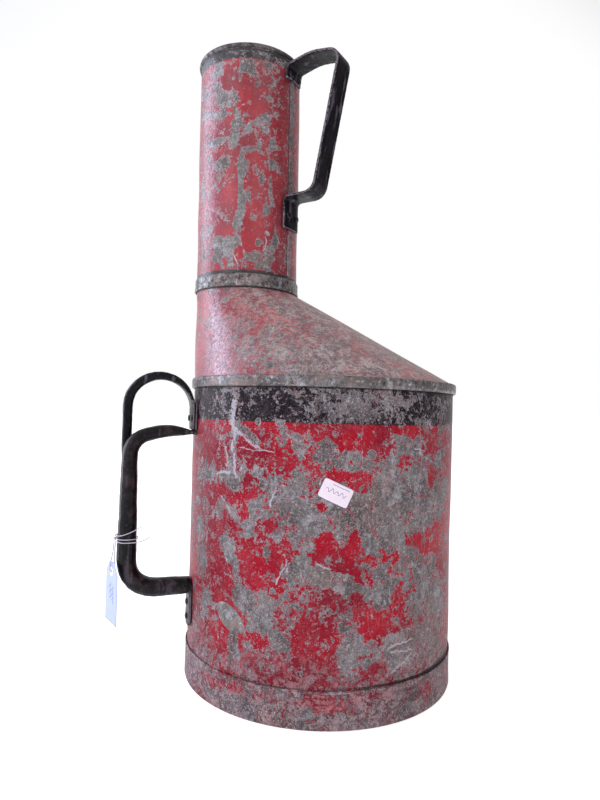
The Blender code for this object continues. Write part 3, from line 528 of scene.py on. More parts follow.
def marks(s, z, lines):
    """Scratches as short, slightly wavy strokes: (s, z, s, z, half width, strength), millimetres."""
    total = np.zeros(np.broadcast(s, z).shape)
    s, z = (s + 0.7 * np.sin(z * 0.31 + 1.3) + 0.35 * np.sin(z * 0.83 + s * 0.2),
            z + 0.6 * np.sin(s * 0.27) + 0.3 * np.sin(s * 0.9 + 2))
    for s0, z0, s1, z1, half, power in lines:
        ds, dz = s1 - s0, z1 - z0
        share = kept(((s - s0) * ds + (z - z0) * dz) / (ds * ds + dz * dz))
        away = np.hypot(s - s0 - share * ds, z - z0 - share * dz) / half
        total = np.maximum(total, power * np.exp(-away ** 2))
    return total


def limited(bare, reach=0.36):
    """Holds a wear field near its threshold, so that noise still breaks into both sides of it."""
    return 0.5 + reach * np.tanh((bare - 0.5) / reach)


def set_fields(obj, **fields):
    count = len(obj.data.vertices)
    for name in FIELDS:
        values = np.asarray(fields.get(name, 0.0), dtype=float).ravel()
        set_field(obj, name, np.broadcast_to(values, count))


def paint_faces(obj, mat, first, last=None):
    """Gives the faces from first to before last a material of their own."""
    mesh = obj.data
    mesh.materials.append(mat)
    index = np.zeros(len(mesh.polygons), dtype=np.int32)
    mesh.polygons.foreach_get("material_index", index)
    index[first:last] = len(mesh.materials) - 1
    mesh.polygons.foreach_set("material_index", index)


def seam_ridge(angle, radius, centre):
    """The raised fold of an upright seam."""
    return SEAM_RISE * fall(np.abs(turn_of(angle, centre)) * radius, SEAM_WIDTH / 2 + 0.0006, 0.0012)


def calm_round(angle, radius, centre, half):
    """Near 0 within half a width of a direction, where something is fixed to the wall, else 1."""
    return 1 - 0.95 * np.exp(-((turn_of(angle, centre) * radius / half) ** 4))


# ---------------------------------------------------------------- body wall
# Paint wear on the front, read off the photo: distance round the wall from the front, height.
BODY_BARE = [
    (-84, 238, 5, 34, 0, 0.75), (-66, 232, 20, 4, -38, 0.75), (-88, 208, 4, 20, 8, 0.6),
    (-96, 215, 3, 16, 10, 0.35), (-94, 199, 22, 4, 0, 0.7), (-100, 194, 13, 4, 0, 0.5),
    (-84, 193, 7, 6, 0, 0.5), (-73, 208, 3, 14, -14, 0.5), (-96, 174, 6, 5, 0, 0.6),
    (-84, 169, 9, 5, -35, 0.65), (-100, 164, 5, 5, 0, 0.5), (-60, 204, 9, 5, 0, 0.7),
    (-61, 176, 8, 7, -30, 0.95), (-68, 155, 9, 8, 0, 0.95), (-50, 170, 7, 4, 0, 0.6),
    (-90, 141, 11, 7, 0, 0.9), (-82, 128, 10, 6, -40, 0.9), (-76, 112, 4, 14, 5, 0.8),
    (-58, 92, 20, 18, -60, 0.95), (-95, 84, 16, 4, 0, 0.85), (-80, 56, 7, 20, 5, 0.8),
    (-48, 138, 4, 10, 15, 0.8), (-40, 153, 5, 6, 0, 0.6), (-52, 193, 6, 4, 0, 0.6),
    (-60, 230, 8, 5, -40, 0.3), (-38, 232, 5, 12, 0, 0.45), (-30, 237, 9, 4, -30, 0.35),
    (-22, 226, 6, 4, 0, 0.3), (-42, 197, 8, 5, 20, 0.6), (-27, 181, 20, 17, -10, 0.7),
    (-12, 160, 20, 22, 0, 0.55), (-22, 118, 12, 24, 0, 0.55), (-22, 205, 6, 8, 0, 0.3),
    (0, 222, 12, 12, 0, 0.4), (16, 215, 16, 8, 0, 0.6), (20, 175, 30, 16, 0, 0.55),
    (60, 190, 28, 30, 0, 0.55), (52, 158, 22, 22, 0, 0.6), (95, 178, 36, 30, 0, 0.6),
    (20, 158, 16, 12, 0, 0.45), (18, 118, 24, 10, 0, 0.8), (52, 112, 12, 18, 0, 0.75),
    (100, 105, 30, 26, 0, 0.55), (22, 72, 9, 30, 0, 0.9), (48, 56, 22, 7, 0, 0.7), (75, 62, 30, 16, 0, 0.5),
    (115, 60, 30, 26, 0, 0.4), (75, 135, 16, 9, 0, 0.7), (85, 232, 16, 14, 0, 0.3),
    (66, 228, 10, 14, 0, 0.45), (34, 212, 12, 5, 0, 0.45), (-7, 125, 12, 7, 0, 0.7),
    (-36, 66, 10, 12, 0, 0.6), (-104, 60, 5, 10, 0, 0.3), (-128, 196, 16, 6, 0, 0.6),
    (-130, 120, 12, 14, 0, 0.55), (-118, 85, 10, 12, 0, 0.5), (-135, 150, 12, 10, 0, 0.4),
    (-125, 172, 10, 6, 0, 0.4), (-16, 262, 10, 8, 0, 0.2), (8, 262, 22, 12, 0, 0.55),
    (40, 266, 34, 8, 0, 0.45), (60, 262, 14, 8, 0, 0.35), (-100, 266, 40, 10, 0, 0.18),
    (90, 205, 16, 14, 0, 0.35), (128, 222, 22, 5, 14, 0.6), (112, 214, 16, 4, -14, 0.6),
    (140, 190, 22, 14, 0, 0.6),
]
BODY_PAINTED = [
    (-68, 222, 12, 9, 0, 0.6), (-105, 180, 14, 8, 0, 0.5), (-60, 140, 8, 8, 0, 0.7),
    (-98, 108, 18, 20, 0, 0.6), (-60, 118, 14, 14, 0, 0.6), (-110, 225, 20, 14, 0, 0.4),
    (-52, 220, 14, 8, 0, 0.5), (-68, 190, 8, 10, 0, 0.7), (-40, 142, 5, 18, 0, 0.35),
    (15, 238, 26, 7, 0, 0.8), (40, 232, 12, 14, 0, 0.6), (52, 242, 30, 3, 0, 0.6), (30, 199, 9, 8, 0, 0.95),
    (8, 204, 10, 4, 0, 0.7), (70, 214, 10, 10, 0, 0.6), (105, 200, 7, 10, 0, 0.85),
    (94, 240, 22, 5, 0, 0.6), (105, 230, 14, 8, 0, 0.3), (-4, 177, 5, 6, 0, 0.8),
    (2, 150, 10, 9, -35, 0.85), (-2, 141, 12, 5, 0, 0.8), (16, 134, 14, 8, -30, 0.9),
    (32, 120, 9, 6, 0, 0.8), (46, 116, 8, 3, 20, 0.6), (24, 156, 6, 14, -20, 0.5), (42, 157, 3, 6, 0, 0.4),
    (62, 136, 7, 6, 0, 0.8), (78, 168, 14, 5, 30, 0.7), (82, 150, 10, 7, 0, 0.5), (96, 142, 10, 8, 0, 0.45),
    (10, 98, 18, 11, 0, 0.5), (28, 96, 8, 8, 0, 0.6), (5, 78, 7, 18, 0, 0.5), (2, 54, 11, 12, 0, 0.7),
    (-14, 72, 8, 7, 0, 0.6), (48, 82, 20, 8, 0, 0.75), (66, 96, 8, 16, 0, 0.95), (72, 84, 12, 6, -20, 0.7),
    (84, 108, 6, 4, 0, 0.6), (48, 50, 8, 5, 0, 0.85), (34, 56, 6, 4, 0, 0.6), (58, 124, 8, 3, -20, 0.4),
    (-38, 84, 6, 8, 0, 0.85), (-22, 108, 6, 7, 0, 0.4), (-22, 74, 8, 6, 0, 0.7), (-74, 80, 8, 6, -20, 0.85),
    (-96, 64, 12, 14, 0, 0.6), (-60, 45, 8, 4, 0, 0.7), (-60, 65, 12, 6, 0, 0.45), (-30, 56, 14, 7, 0, 0.4),
    (140, 120, 18, 18, 0, 0.55), (120, 152, 24, 8, 0, 0.6), (150, 215, 26, 26, 0, 0.5),
    (150, 160, 30, 40, 0, 0.3), (-40, 215, 12, 8, 0, 0.4), (-44, 110, 10, 6, 0, 0.4),
    (-105, 150, 14, 12, 0, 0.4), (105, 262, 30, 8, 0, 0.5), (-65, 260, 50, 10, 0, 0.3),
    (-25, 258, 20, 10, 0, 0.5),
]
BODY_MARKS = [
    (-86, 263, -86, 240, 3.4, 0.62), (-84, 240, -86, 222, 2.4, 0.55), (-86, 222, -81, 198, 1.8, 0.6),
    (-94, 222, -92, 206, 1.3, 0.7), (-81, 236, -58, 224, 2.0, 0.6), (-106, 199, -88, 202, 1.6, 0.6),
    (-78, 223, -44, 221, 0.6, 0.8), (-70, 220, -77, 200, 0.7, 0.45), (-98, 180, -86, 168, 0.9, 0.6),
    (-42, 190, -47, 176, 0.8, 0.8), (-31, 130, -40, 114, 1.0, 0.7), (-33, 138, -30, 124, 0.9, 0.6),
    (-34, 237, -28, 227, 0.7, 0.6), (-90, 130, -84, 118, 0.9, 0.5), (-97, 62, -97, 50, 0.8, 0.5),
    (30, 228, 29, 218, 0.7, 0.5), (54, 245, 58, 222, 0.7, 0.5), (40, 222, 60, 224, 0.6, 0.5),
    (81, 226, 94, 224, 0.7, 0.5), (88, 222, 108, 213, 1.0, 0.5), (58, 62, 82, 66, 1.1, 0.8),
    (60, 58, 82, 57, 0.9, 0.7), (62, 41, 82, 54, 1.2, 0.85), (60, 40, 70, 48, 0.7, 0.6),
    (8, 131, 4, 129, 1.0, 0.6), (4, 129, -8, 132, 0.9, 0.6), (56, 112, 60, 90, 0.6, 0.5),
    (30, 160, 40, 163, 0.4, 0.5), (-60, 40, -20, 44, 0.6, 0.4), (28, 45, 60, 40, 0.8, 0.4),
    (10, 213, 22, 216, 0.5, 0.4), (0, 205, -6, 196, 0.8, 0.35), (6, 170, 5, 156, 0.7, 0.45),
    (100, 80, 104, 66, 0.8, 0.5), (108, 62, 114, 48, 0.8, 0.4), (-112, 225, -104, 215, 0.7, 0.4),
]
BODY_HAZE = [
    (-112, 236, 42, 12, 0, 0.35), (-130, 215, 26, 40, 0, 0.20), (-92, 262, 50, 16, 0, 0.2),
    (-130, 90, 24, 60, 0, 0.2), (-30, 262, 40, 12, 0, 0.35), (-70, 50, 60, 14, 0, 0.3),
    (60, 200, 70, 60, 0, 0.18), (60, 45, 80, 12, 0, 0.35),
]
BODY_SPECKS = [(-125, 150, 30, 90, 0, 1.0), (60, 200, 60, 50, 0, 0.6), (-70, 52, 60, 16, 0, 0.9)]
# Knocks in the wall, in metres: distance round from the front, height, radius, depth.
BODY_DENTS = [
    (0.070, 0.058, 0.012, 0.0007), (0.086, 0.050, 0.010, 0.0006), (-0.030, 0.150, 0.030, 0.0005),
    (0.060, 0.190, 0.030, 0.0006), (0.110, 0.110, 0.026, 0.0006), (-0.085, 0.080, 0.026, 0.0005),
]


def body_fields(angle, z):
    """How the body's paint is worn, and where shade is painted on it."""
    s = along(angle, BODY_RADIUS)
    z_mm = z * 1000
    front = fall(np.abs(s), 175, 35)
    drift = wobble(angle, z, 5, 4, 0.07)
    bare = 0.30 + 0.16 * drift
    lean = 0.6 * rise(s, -40, 120) * fall(z_mm, 245, 10)
    bare = bare + front * (0.20 * lean + patches(s, z_mm, BODY_BARE) - patches(s, z_mm, BODY_PAINTED))
    bare = bare + (1 - front) * 0.16
    low = fall(z_mm, 62, 34)
    bare = bare * (1 - 0.25 * low) + 0.12 * low
    chips = 0.29 + 0.27 * bell(s, 22, 44.0) - 0.22 * rise(s, 62, 30)
    bare = np.where(z_mm > 246.5, chips + 0.30 * (bare - 0.30),
                    bare - 0.02 - 0.09 * fall(s, -45, 20) * rise(z_mm, 95, 20))
    dull = 0.10 + 0.75 * fall(z_mm, 70, 42) ** 1.2
    dull = dull + 0.16 * rise(s, 88, 60) + 0.15 * fall(s, -105, 50)
    black_band = z_mm > 246
    haze = np.where(black_band, 0.10, front * patches(s, z_mm, BODY_HAZE) * 0.6)
    speck = 0.34 + 0.12 * drift + 0.20 * patches(s, z_mm, BODY_SPECKS)
    band_speck = 0.50 + 0.10 * drift - 0.32 * patches(s, z_mm, [(105, 258, 26, 9, 0, 1)])
    # painted shade: dark lines under the shoulder rim and along the base band's top edge, stronger on the
    # right, a wider dark band above the base on the far right, and darkening towards the right side
    right = np.clip((s + 30) / 90, 0.25, 1)
    dark = 0.85 * right * bell(z_mm, 33.0, 1.3) + 0.6 * bell(z_mm, 275.0, 1.6)
    dark = dark + 0.5 * bell(z_mm, 34.5, 3.0) * rise(s, 90, 50) + 0.20 * rise(s, 50, 60)
    return dict(bare=limited(bare, 0.25), haze=kept(haze), dull=kept(dull), dark=kept(dark),
                speck=np.where(black_band, band_speck, speck), mark=front * marks(s, z_mm, BODY_MARKS))


def build_body():
    angle = dense_front(720, 260)
    z = np.linspace(BODY_LOW[2], BODY_TOP, 420)[:, None]
    calm = rise(z, 0.036, 0.03) * fall(z, 0.270, 0.02) * calm_round(angle, BODY_RADIUS, HANDLE, 0.024)
    sticker_away = ((turn_of(angle, STICKER) * BODY_RADIUS / 0.019) ** 2 + ((z - 0.190) / 0.017) ** 2)
    calm = calm * (1 - 0.97 * np.exp(-(sticker_away ** 2)))
    dents = wobble(angle, z, 11, 2.4, 0.12) * 0.00050 + wobble(angle, z, 12, 6, 0.05) * 0.00022
    side = turn_of(angle, FRONT) * BODY_RADIUS
    for cs, cz, wide, deep in BODY_DENTS:
        dents = dents - deep * np.exp(-(((side - cs) / wide) ** 2 + ((z - cz) / wide) ** 2))
    radius = BODY_RADIUS - 0.00025 + dents * calm
    radius = radius + seam_ridge(angle, BODY_RADIUS, BODY_SEAM) * rise(z, 0.034, 0.002)
    outer = ring(AXIS_X, radius, angle, z)
    inner = ring(AXIS_X, BODY_RADIUS - SHEET, angle, np.linspace(BODY_TOP, BODY_LOW[2], 8)[:, None])
    rows, cols = len(outer), angle.shape[1]
    obj = add_mesh("body_wall", np.concatenate([outer, inner]), lattice(rows + len(inner), cols),
                   MATS["body"], replaces=["body_shell"])
    paint_faces(obj, MATS["inside"], rows * cols)
    inside = np.zeros(inner.shape[:2])
    set_fields(obj, **{key: np.concatenate([values, inside + (0.9 if key == "bare" else 0)])
                       for key, values in body_fields(angle, z + 0 * angle).items()})


# ---------------------------------------------------------------- base band
def build_base_band():
    outer, high = (BAND_HIGH[1] - BAND_LOW[1]) / 2, BAND_HIGH[2]
    angle = around(680)
    # outline of the hoop's section: outside face, lipped top, inside face, turned-in foot
    section = [(0.0, 0.0010), (0.0, 0.0020)]
    section += [(0.0, h) for h in np.linspace(0.003, high - 0.002, 20)]
    section += [(0.0002, high - 0.0012), (0.0001, high - 0.0004), (-0.0004, high), (-SHEET, high)]
    section += [(-SHEET, h) for h in np.linspace(high - 0.004, 0.004, 6)]
    section += [(-SHEET, 0.0), (-0.0006, 0.0), (-0.0002, 0.0003)]
    off, z = outline(section)
    waves = wobble(angle, z, 21, 5, 0.05) * 0.00045 + wobble(angle, z, 22, 12, 0.02) * 0.00022
    radius = outer - 0.0003 + off + np.where(off > -0.0009, waves * rise(z, 0, 0.004), 0)
    radius = np.where(off <= -SHEET + 1e-9, outer - SHEET, radius)
    lift = wobble(angle, 0 * z, 23, 6, 0.05) * 0.0004 * rise(z, high - 0.004, 0.004)
    points = ring(AXIS_X, radius, angle, z + lift - 0.0003 * (z > 0.03))
    obj = add_mesh("base_hoop", points, lattice(len(section), angle.size), MATS["band"],
                   replaces=["base_band"])
    s = along(angle, outer) + 0 * z
    z_mm = z * 1000 + 0 * angle
    pink_left, pink_edge = (-85, 21, 34, 4, 4, 0.5), (-120, 22, 20, 5, 0, 0.3)
    bare = 0.62 + 0.15 * wobble(angle, z, 24, 8, 0.03)
    bare = bare - patches(s, z_mm, [pink_left, (5, 22, 40, 8, 0, 0.25), pink_edge, (40, 27, 14, 3, 0, 0.4)])
    bare = bare + patches(s, z_mm, [(-60, 8, 40, 6, 0, 0.3), (60, 12, 30, 6, 0, 0.2)])
    pink = patches(s, z_mm, [pink_left, (5, 22, 40, 8, 0, 0.3), pink_edge])
    dark = 0.7 * bell(z_mm, 25, 1.2) * patches(s, z_mm, [(-95, 25, 16, 3, 0, 1), (60, 26, 40, 3, 0, 0.6)])
    dark = dark + 0.30 * patches(s, z_mm, [(-88, 12, 20, 5, 0, 1), (85, 18, 18, 9, 0, 1.6),
                                           (45, 17, 12, 6, 0, 1.3)])
    set_fields(obj, bare=limited(bare, 0.35), haze=0.25 + 0 * s, speck=0.5 + 0 * s, dark=dark,
               mark=marks(s, z_mm, [(-4, 30.5, 30, 30, 0.8, 0.6), (-95, 24, -60, 22, 0.8, 0.3)]),
               dull=kept(0.86 + 0.15 * wobble(angle, z, 25, 6, 0.03) - 0.7 * pink))


# ---------------------------------------------------------------- sloping shoulder
def build_cone():
    rows = 120
    t = np.linspace(0.0, 1.0, rows)[:, None]
    angle = around(620)
    cols = angle.size
    z = CONE_START + t * (CONE_TOP - CONE_START)
    centre = AXIS_X - NECK_OFFSET * t
    radius = BODY_RADIUS + t * (NECK_RADIUS - BODY_RADIUS)
    calm = rise(t, 0, 0.12) * fall(t, 1, 0.10)
    dents = (wobble(angle, z, 31, 2.2, 0.08) * 0.00060 + wobble(angle, z, 32, 5, 0.04) * 0.00030) * calm
    ridge = seam_ridge(angle, radius, CONE_SEAM) * rise(t, 0, 0.05)
    neck_in = NECK_RADIUS - SHEET - 0.0004
    spigot_z = np.array([CONE_TOP + 0.0002, CONE_HIGH[2] - 0.0002])[:, None]
    skirt_r = BODY_RADIUS - SHEET - 0.0006
    skirt_z = np.array([CONE_LOW[2] + 0.0002, CONE_START - 0.001])[:, None]
    # from the skirt's foot up the outside, over the spigot's lip and down the inside
    points = np.concatenate([
        ring(AXIS_X, skirt_r, angle, skirt_z),
        ring(centre, radius - 0.0002 + dents + ridge, angle, z),
        ring(neck_axis(spigot_z), neck_in, angle, spigot_z),
        ring(AXIS_X - NECK_OFFSET, neck_in - SHEET, angle, spigot_z[::-1]),
        ring(centre, radius - SHEET * 1.15, angle, z - SHEET * 0.5)[::-1],
        ring(AXIS_X, skirt_r - SHEET, angle, skirt_z[::-1])])
    obj = add_mesh("shoulder_slope", points, lattice(len(points), cols), MATS["cone"],
                   replaces=["shoulder_cone"])
    paint_faces(obj, MATS["inside"], (rows + 4) * cols)
    share = np.concatenate([np.zeros((2, 1)), t, np.ones((4, 1)), t[::-1], np.zeros((2, 1))])
    turn = turn_of(angle, FRONT) + 0 * share
    left = fall(turn, 0.15, 0.9) * fall(np.abs(turn), 2.4, 0.6)
    wear = wobble(angle, share * 0.09, 33, 5, 0.05)
    bare = 0.54 + 0.18 * wear - 0.30 * left - 0.20 * bell(turn, 0.25, 0.5) * rise(share, 0.45, 0.4)
    bare = bare + 0.22 * bell(turn, -0.15, 0.35) * fall(share, 0.6, 0.4)
    # painted sheen: a pale bluish strip down the left of the shoulder, where the window's reflection falls
    painted_sheen = bell(turn + 0.20 * (1 - share), -0.62, 0.20)
    # painted shade along the joints at the shoulder's top and foot
    dark = 0.55 * bell(share, 1.0, 0.02) + 0.4 * bell(share, 0, 0.012) + 0 * turn
    set_fields(obj, bare=limited(bare, 0.3), haze=kept(0.14 + 0.04 * left + 0.10 * wear + 0.52 * painted_sheen),
               dull=kept(0.58 + 0.2 * wear - 0.50 * left), speck=0.55 + 0.1 * wear, dark=dark)


# ---------------------------------------------------------------- folded rim between body and shoulder
def build_rim():
    angle = around(680)
    outer = (RIM_HIGH[1] - RIM_LOW[1]) / 2
    low, high = RIM_LOW[2], RIM_HIGH[2]
    inner = BODY_RADIUS + 0.0002
    section = [(inner, low), (outer - 0.0010, low), (outer - 0.0003, low + 0.0006), (outer, low + 0.0016)]
    section += [(outer + 0.0001, h) for h in np.linspace(low + 0.0025, high - 0.0028, 5)]
    section += [(outer, high - 0.0018), (outer - 0.0005, high - 0.0007), (outer - 0.0014, high),
                (inner + 0.0004, high), (inner, high - 0.0004)]
    r, z = outline(section)
    face = rise(r, outer - 0.0012, 0.001)
    waves = wobble(angle, z, 41, 8, 0.02) * 0.00035 + wobble(angle, z, 42, 20, 0.01) * 0.00020
    lift = wobble(angle, 0 * z, 43, 7, 0.05) * 0.00035 * face
    add_mesh("shoulder_rim", ring(AXIS_X, r - 0.0003 * face + waves * face, angle, z + lift),
             lattice(len(section), angle.size), MATS["rim"], replaces=["shoulder_band"])


# ---------------------------------------------------------------- neck
NECK_BARE = [
    (-30, 585, 7, 8, 0, 0.9), (-33, 567, 6, 6, 0, 0.5), (-26, 556, 9, 12, 0, 0.9), (-15, 553, 8, 8, 0, 0.9),
    (-24, 538, 6, 6, 0, 0.7), (-38, 542, 22, 4, -12, 0.7), (-45, 563, 6, 8, 0, 0.5),
    (-55, 566, 8, 5, -30, 0.4), (2, 585, 8, 6, 25, 0.9), (-6, 575, 2, 8, 0, 0.5), (-8, 535, 3, 9, 15, 0.7),
    (-11, 522, 4, 12, 0, 0.8), (-28, 514, 24, 4, 0, 0.8), (-12, 510, 6, 6, 0, 0.8),
    (-38, 497, 5, 6, 0, 0.6), (-26, 490, 6, 6, 0, 0.8), (-17, 491, 4, 5, 0, 0.8), (0, 500, 4, 5, 0, 0.7),
    (4, 505, 4, 4, 0, 0.7), (-1, 486, 5, 10, 0, 0.8), (-3, 465, 2.6, 30, 2, 0.95), (-1, 450, 4, 11, 0, 0.6),
    (5, 458, 3, 7, 0, 0.6), (-6, 432, 4, 13, 0, 0.9), (-12, 412, 12, 8, 15, 0.95), (-24, 412, 6, 8, 0, 0.9),
    (-28, 417, 4, 5, 0, 0.7), (-35, 430, 12, 3, 40, 0.6), (-20, 440, 14, 3, -40, 0.6),
    (-12, 398, 4, 12, 5, 0.6), (-26, 398, 5, 4, 0, 0.7), (-48, 480, 6, 6, 0, 0.5), (-50, 467, 6, 7, 0, 0.6),
    (-46, 408, 5, 8, 0, 0.5), (10, 567, 3, 4, 0, 0.7), (4, 549, 3, 3, 0, 0.7), (14, 530, 9, 7, 0, 0.85),
    (19, 537, 6, 4, 0, 0.7), (3, 525, 4, 6, 0, 0.7), (-1, 537, 2, 3, 0, 0.6), (24, 588, 9, 3, 0, 0.6),
    (29, 573, 3, 4, 0, 0.5), (23, 555, 4, 3, 0, 0.7), (27, 513, 3, 4, 0, 0.6), (14, 507, 2, 8, 0, 0.6),
    (27, 492, 3, 5, 0, 0.6), (35, 492, 3, 3, 0, 0.6), (17, 475, 3, 7, -10, 0.7), (26, 470, 2, 12, 0, 0.6),
    (29, 455, 3, 5, 0, 0.5), (9, 439, 5, 4, 0, 0.7), (15, 418, 5, 4, 0, 0.7), (22, 445, 5, 4, 0, 0.5),
    (29, 412, 4, 12, -25, 0.8), (18, 402, 14, 5, 0, 0.9), (18, 394, 6, 6, 0, 0.8), (5, 402, 6, 3, -30, 0.6),
    (24, 396, 5, 8, 0, 0.6), (52, 520, 4, 70, 0, 0.55), (52, 405, 4, 20, 0, 0.8), (34, 560, 2, 20, 0, 0.4),
    (32, 425, 2, 10, 0, 0.5), (-20, 470, 3, 3, 0, 0.5), (-32, 472, 4, 3, 0, 0.4),
]
NECK_PAINTED = [
    (-20, 572, 5, 10, 0, 0.6), (0, 560, 8, 8, 0, 0.7), (12, 545, 8, 6, 0, 0.5), (-5, 545, 6, 4, 0, 0.4),
    (-20, 530, 8, 5, 0, 0.5), (2, 512, 8, 4, 0, 0.6), (10, 497, 8, 4, 0, 0.6), (-10, 497, 4, 6, 0, 0.6),
    (12, 425, 14, 6, 0, 0.7), (5, 411, 6, 7, 0, 0.6), (-22, 428, 10, 6, 0, 0.6), (-5, 403, 4, 8, -20, 0.5),
    (12, 460, 6, 8, 0, 0.3), (-12, 445, 5, 5, 0, 0.5), (-36, 500, 2, 10, 0, 0.2), (38, 500, 5, 90, 0, 0.35),
]
# Pale patches on the left of the neck: rubbed paint, together with a painted bluish sheen where the window's
# reflection falls.
NECK_RUB_AND_SHEEN = [(-40, 540, 16, 60, 0, 0.55), (-38, 440, 16, 50, 0, 0.50), (-34, 580, 12, 20, 0, 0.16)]
NECK_MARKS = [
    (22, 421, 21.5, 409, 0.6, 0.9), (-38, 450, -20, 440, 1.0, 0.5), (-9, 402, -5, 393, 0.8, 0.6),
    (-4, 419, 2, 405, 0.7, 0.5), (14, 520, 16, 505, 0.6, 0.5), (33, 566, 38, 572, 0.6, 0.5),
    (-10, 541, 0, 547, 0.9, 0.5), (30, 545, 22, 538, 0.8, 0.4), (-42, 594, -42, 582, 0.6, 0.6),
]


def build_neck():
    rows, roll_steps, roll = 400, 14, 0.0021
    low, top, mid_z = NECK_LOW[2] + 0.0001, NECK_HIGH[2] - 0.0045, NECK_HIGH[2] - roll
    z = np.linspace(low, top, rows)[:, None]
    angle = dense_front(360, 130, 92.0)
    cols = angle.size
    calm = rise(z, 0.392, 0.02) * fall(z, 0.598, 0.012) * calm_round(angle, NECK_RADIUS, NECK_SEAM, 0.019)
    dents = wobble(angle, z, 51, 1.6, 0.10) * 0.00050 + wobble(angle, z, 52, 4, 0.04) * 0.00024
    ridge = seam_ridge(angle, NECK_RADIUS, NECK_SEAM)
    ridge = ridge * rise(z, COLLAR_HIGH[2] + 0.001, 0.002) * fall(z, 0.598, 0.004)
    # the mouth is rolled outwards over a wire
    turn = np.radians(-95 + np.arange(roll_steps + 1) * 275 / roll_steps)[:, None]
    bumps = wobble(angle, np.zeros((1, 1)), 53, 7, 0.05) * 0.00025
    roll_radius = NECK_RADIUS - 0.0003 + roll * np.cos(turn) * 0.98 + bumps * 0.8
    z_in = np.linspace(mid_z - 0.003, low, 60)[:, None]
    points = np.concatenate([
        ring(neck_axis(z), NECK_RADIUS - 0.0002 + dents * calm + ridge, angle, z),
        ring(neck_axis(mid_z), roll_radius, angle, mid_z + roll * np.sin(turn) * 0.98),
        ring(neck_axis(z_in), NECK_RADIUS - SHEET, angle, z_in)])
    obj = add_mesh("neck_wall", points, lattice(len(points), cols), MATS["neck"],
                   replaces=["neck_tube"])
    roll_end = (rows + roll_steps + 2) * cols
    paint_faces(obj, MATS["mouth"], rows * cols, roll_end)
    paint_faces(obj, MATS["inside"], roll_end)
    z_mm = points[..., 2] * 1000
    s = along(angle, NECK_RADIUS) + 0 * z_mm
    front = fall(np.abs(s), 78, 14)
    drift = wobble(angle, z_mm / 1000, 54, 4, 0.05)
    bare = 0.25 + 0.10 * drift + front * (patches(s, z_mm, NECK_BARE) * 0.84 - patches(s, z_mm, NECK_PAINTED))
    bare = np.where(z_mm > 590.5, 0.24 + 0.2 * (bare - 0.3), bare)
    bare = np.where(z_mm < 388.6, bare * 0.5 - 0.1, bare)
    # dark lines beside the seam's fold, painted shade and dirt together; painted shade along the collar's top
    # edge and under the mouth roll
    seam = turn_of(angle, NECK_SEAM) * NECK_RADIUS * 1000 + 0 * z_mm
    dark = 0.75 * bell(seam, -3.4, 0.9) + 0.4 * bell(seam, 3.4, 0.8)
    dark = dark + 0.8 * bell(z_mm, 386.0, 1.2) + 0.75 * bell(z_mm, 600.4, 1.6)
    set_fields(obj, bare=limited(bare), haze=kept(patches(s, z_mm, NECK_RUB_AND_SHEEN)), dark=kept(dark),
               dull=kept(0.06 + 0.18 * rise(s, 30, 30)), speck=0.32 + 0.25 * rise(s, 5, 30) + 0.10 * drift,
               mark=front * marks(s, z_mm, NECK_MARKS))


def build_collar():
    angle = around(440)
    low, high = COLLAR_LOW[2], COLLAR_HIGH[2]
    foot, head = neck_axis(low), neck_axis(high)
    inner = NECK_RADIUS + 0.0003
    outer = (COLLAR_HIGH[1] - COLLAR_LOW[1]) / 2
    section = [(inner, low + 0.0003), (inner + 0.0005, low), (outer - 0.0004, low + 0.0002),
               (outer + 0.0002, low + 0.0010), (outer + 0.0002, low + 0.0018), (outer - 0.0003, low + 0.0026)]
    section += [(outer - 0.0003, h) for h in np.linspace(low + 0.0034, high - 0.0014, 6)]
    section += [(outer - 0.0005, high - 0.0005), (inner + 0.0004, high), (inner, high - 0.0003)]
    r, z = outline(section)
    waves = wobble(angle, z, 61, 6, 0.02) * 0.00028 + wobble(angle, z, 62, 14, 0.01) * 0.00016
    edge = wobble(angle, 0 * z, 63, 9, 0.05) * 0.00035 * rise(z, high - 0.003, 0.003)
    centre = foot + (head - foot) * (z - low) / (high - low)
    add_mesh("neck_hoop", ring(centre, r + waves * rise(r, inner + 0.0006, 0.0005), angle, z + edge),
             lattice(len(section), angle.size), MATS["collar"], replaces=["neck_collar"])


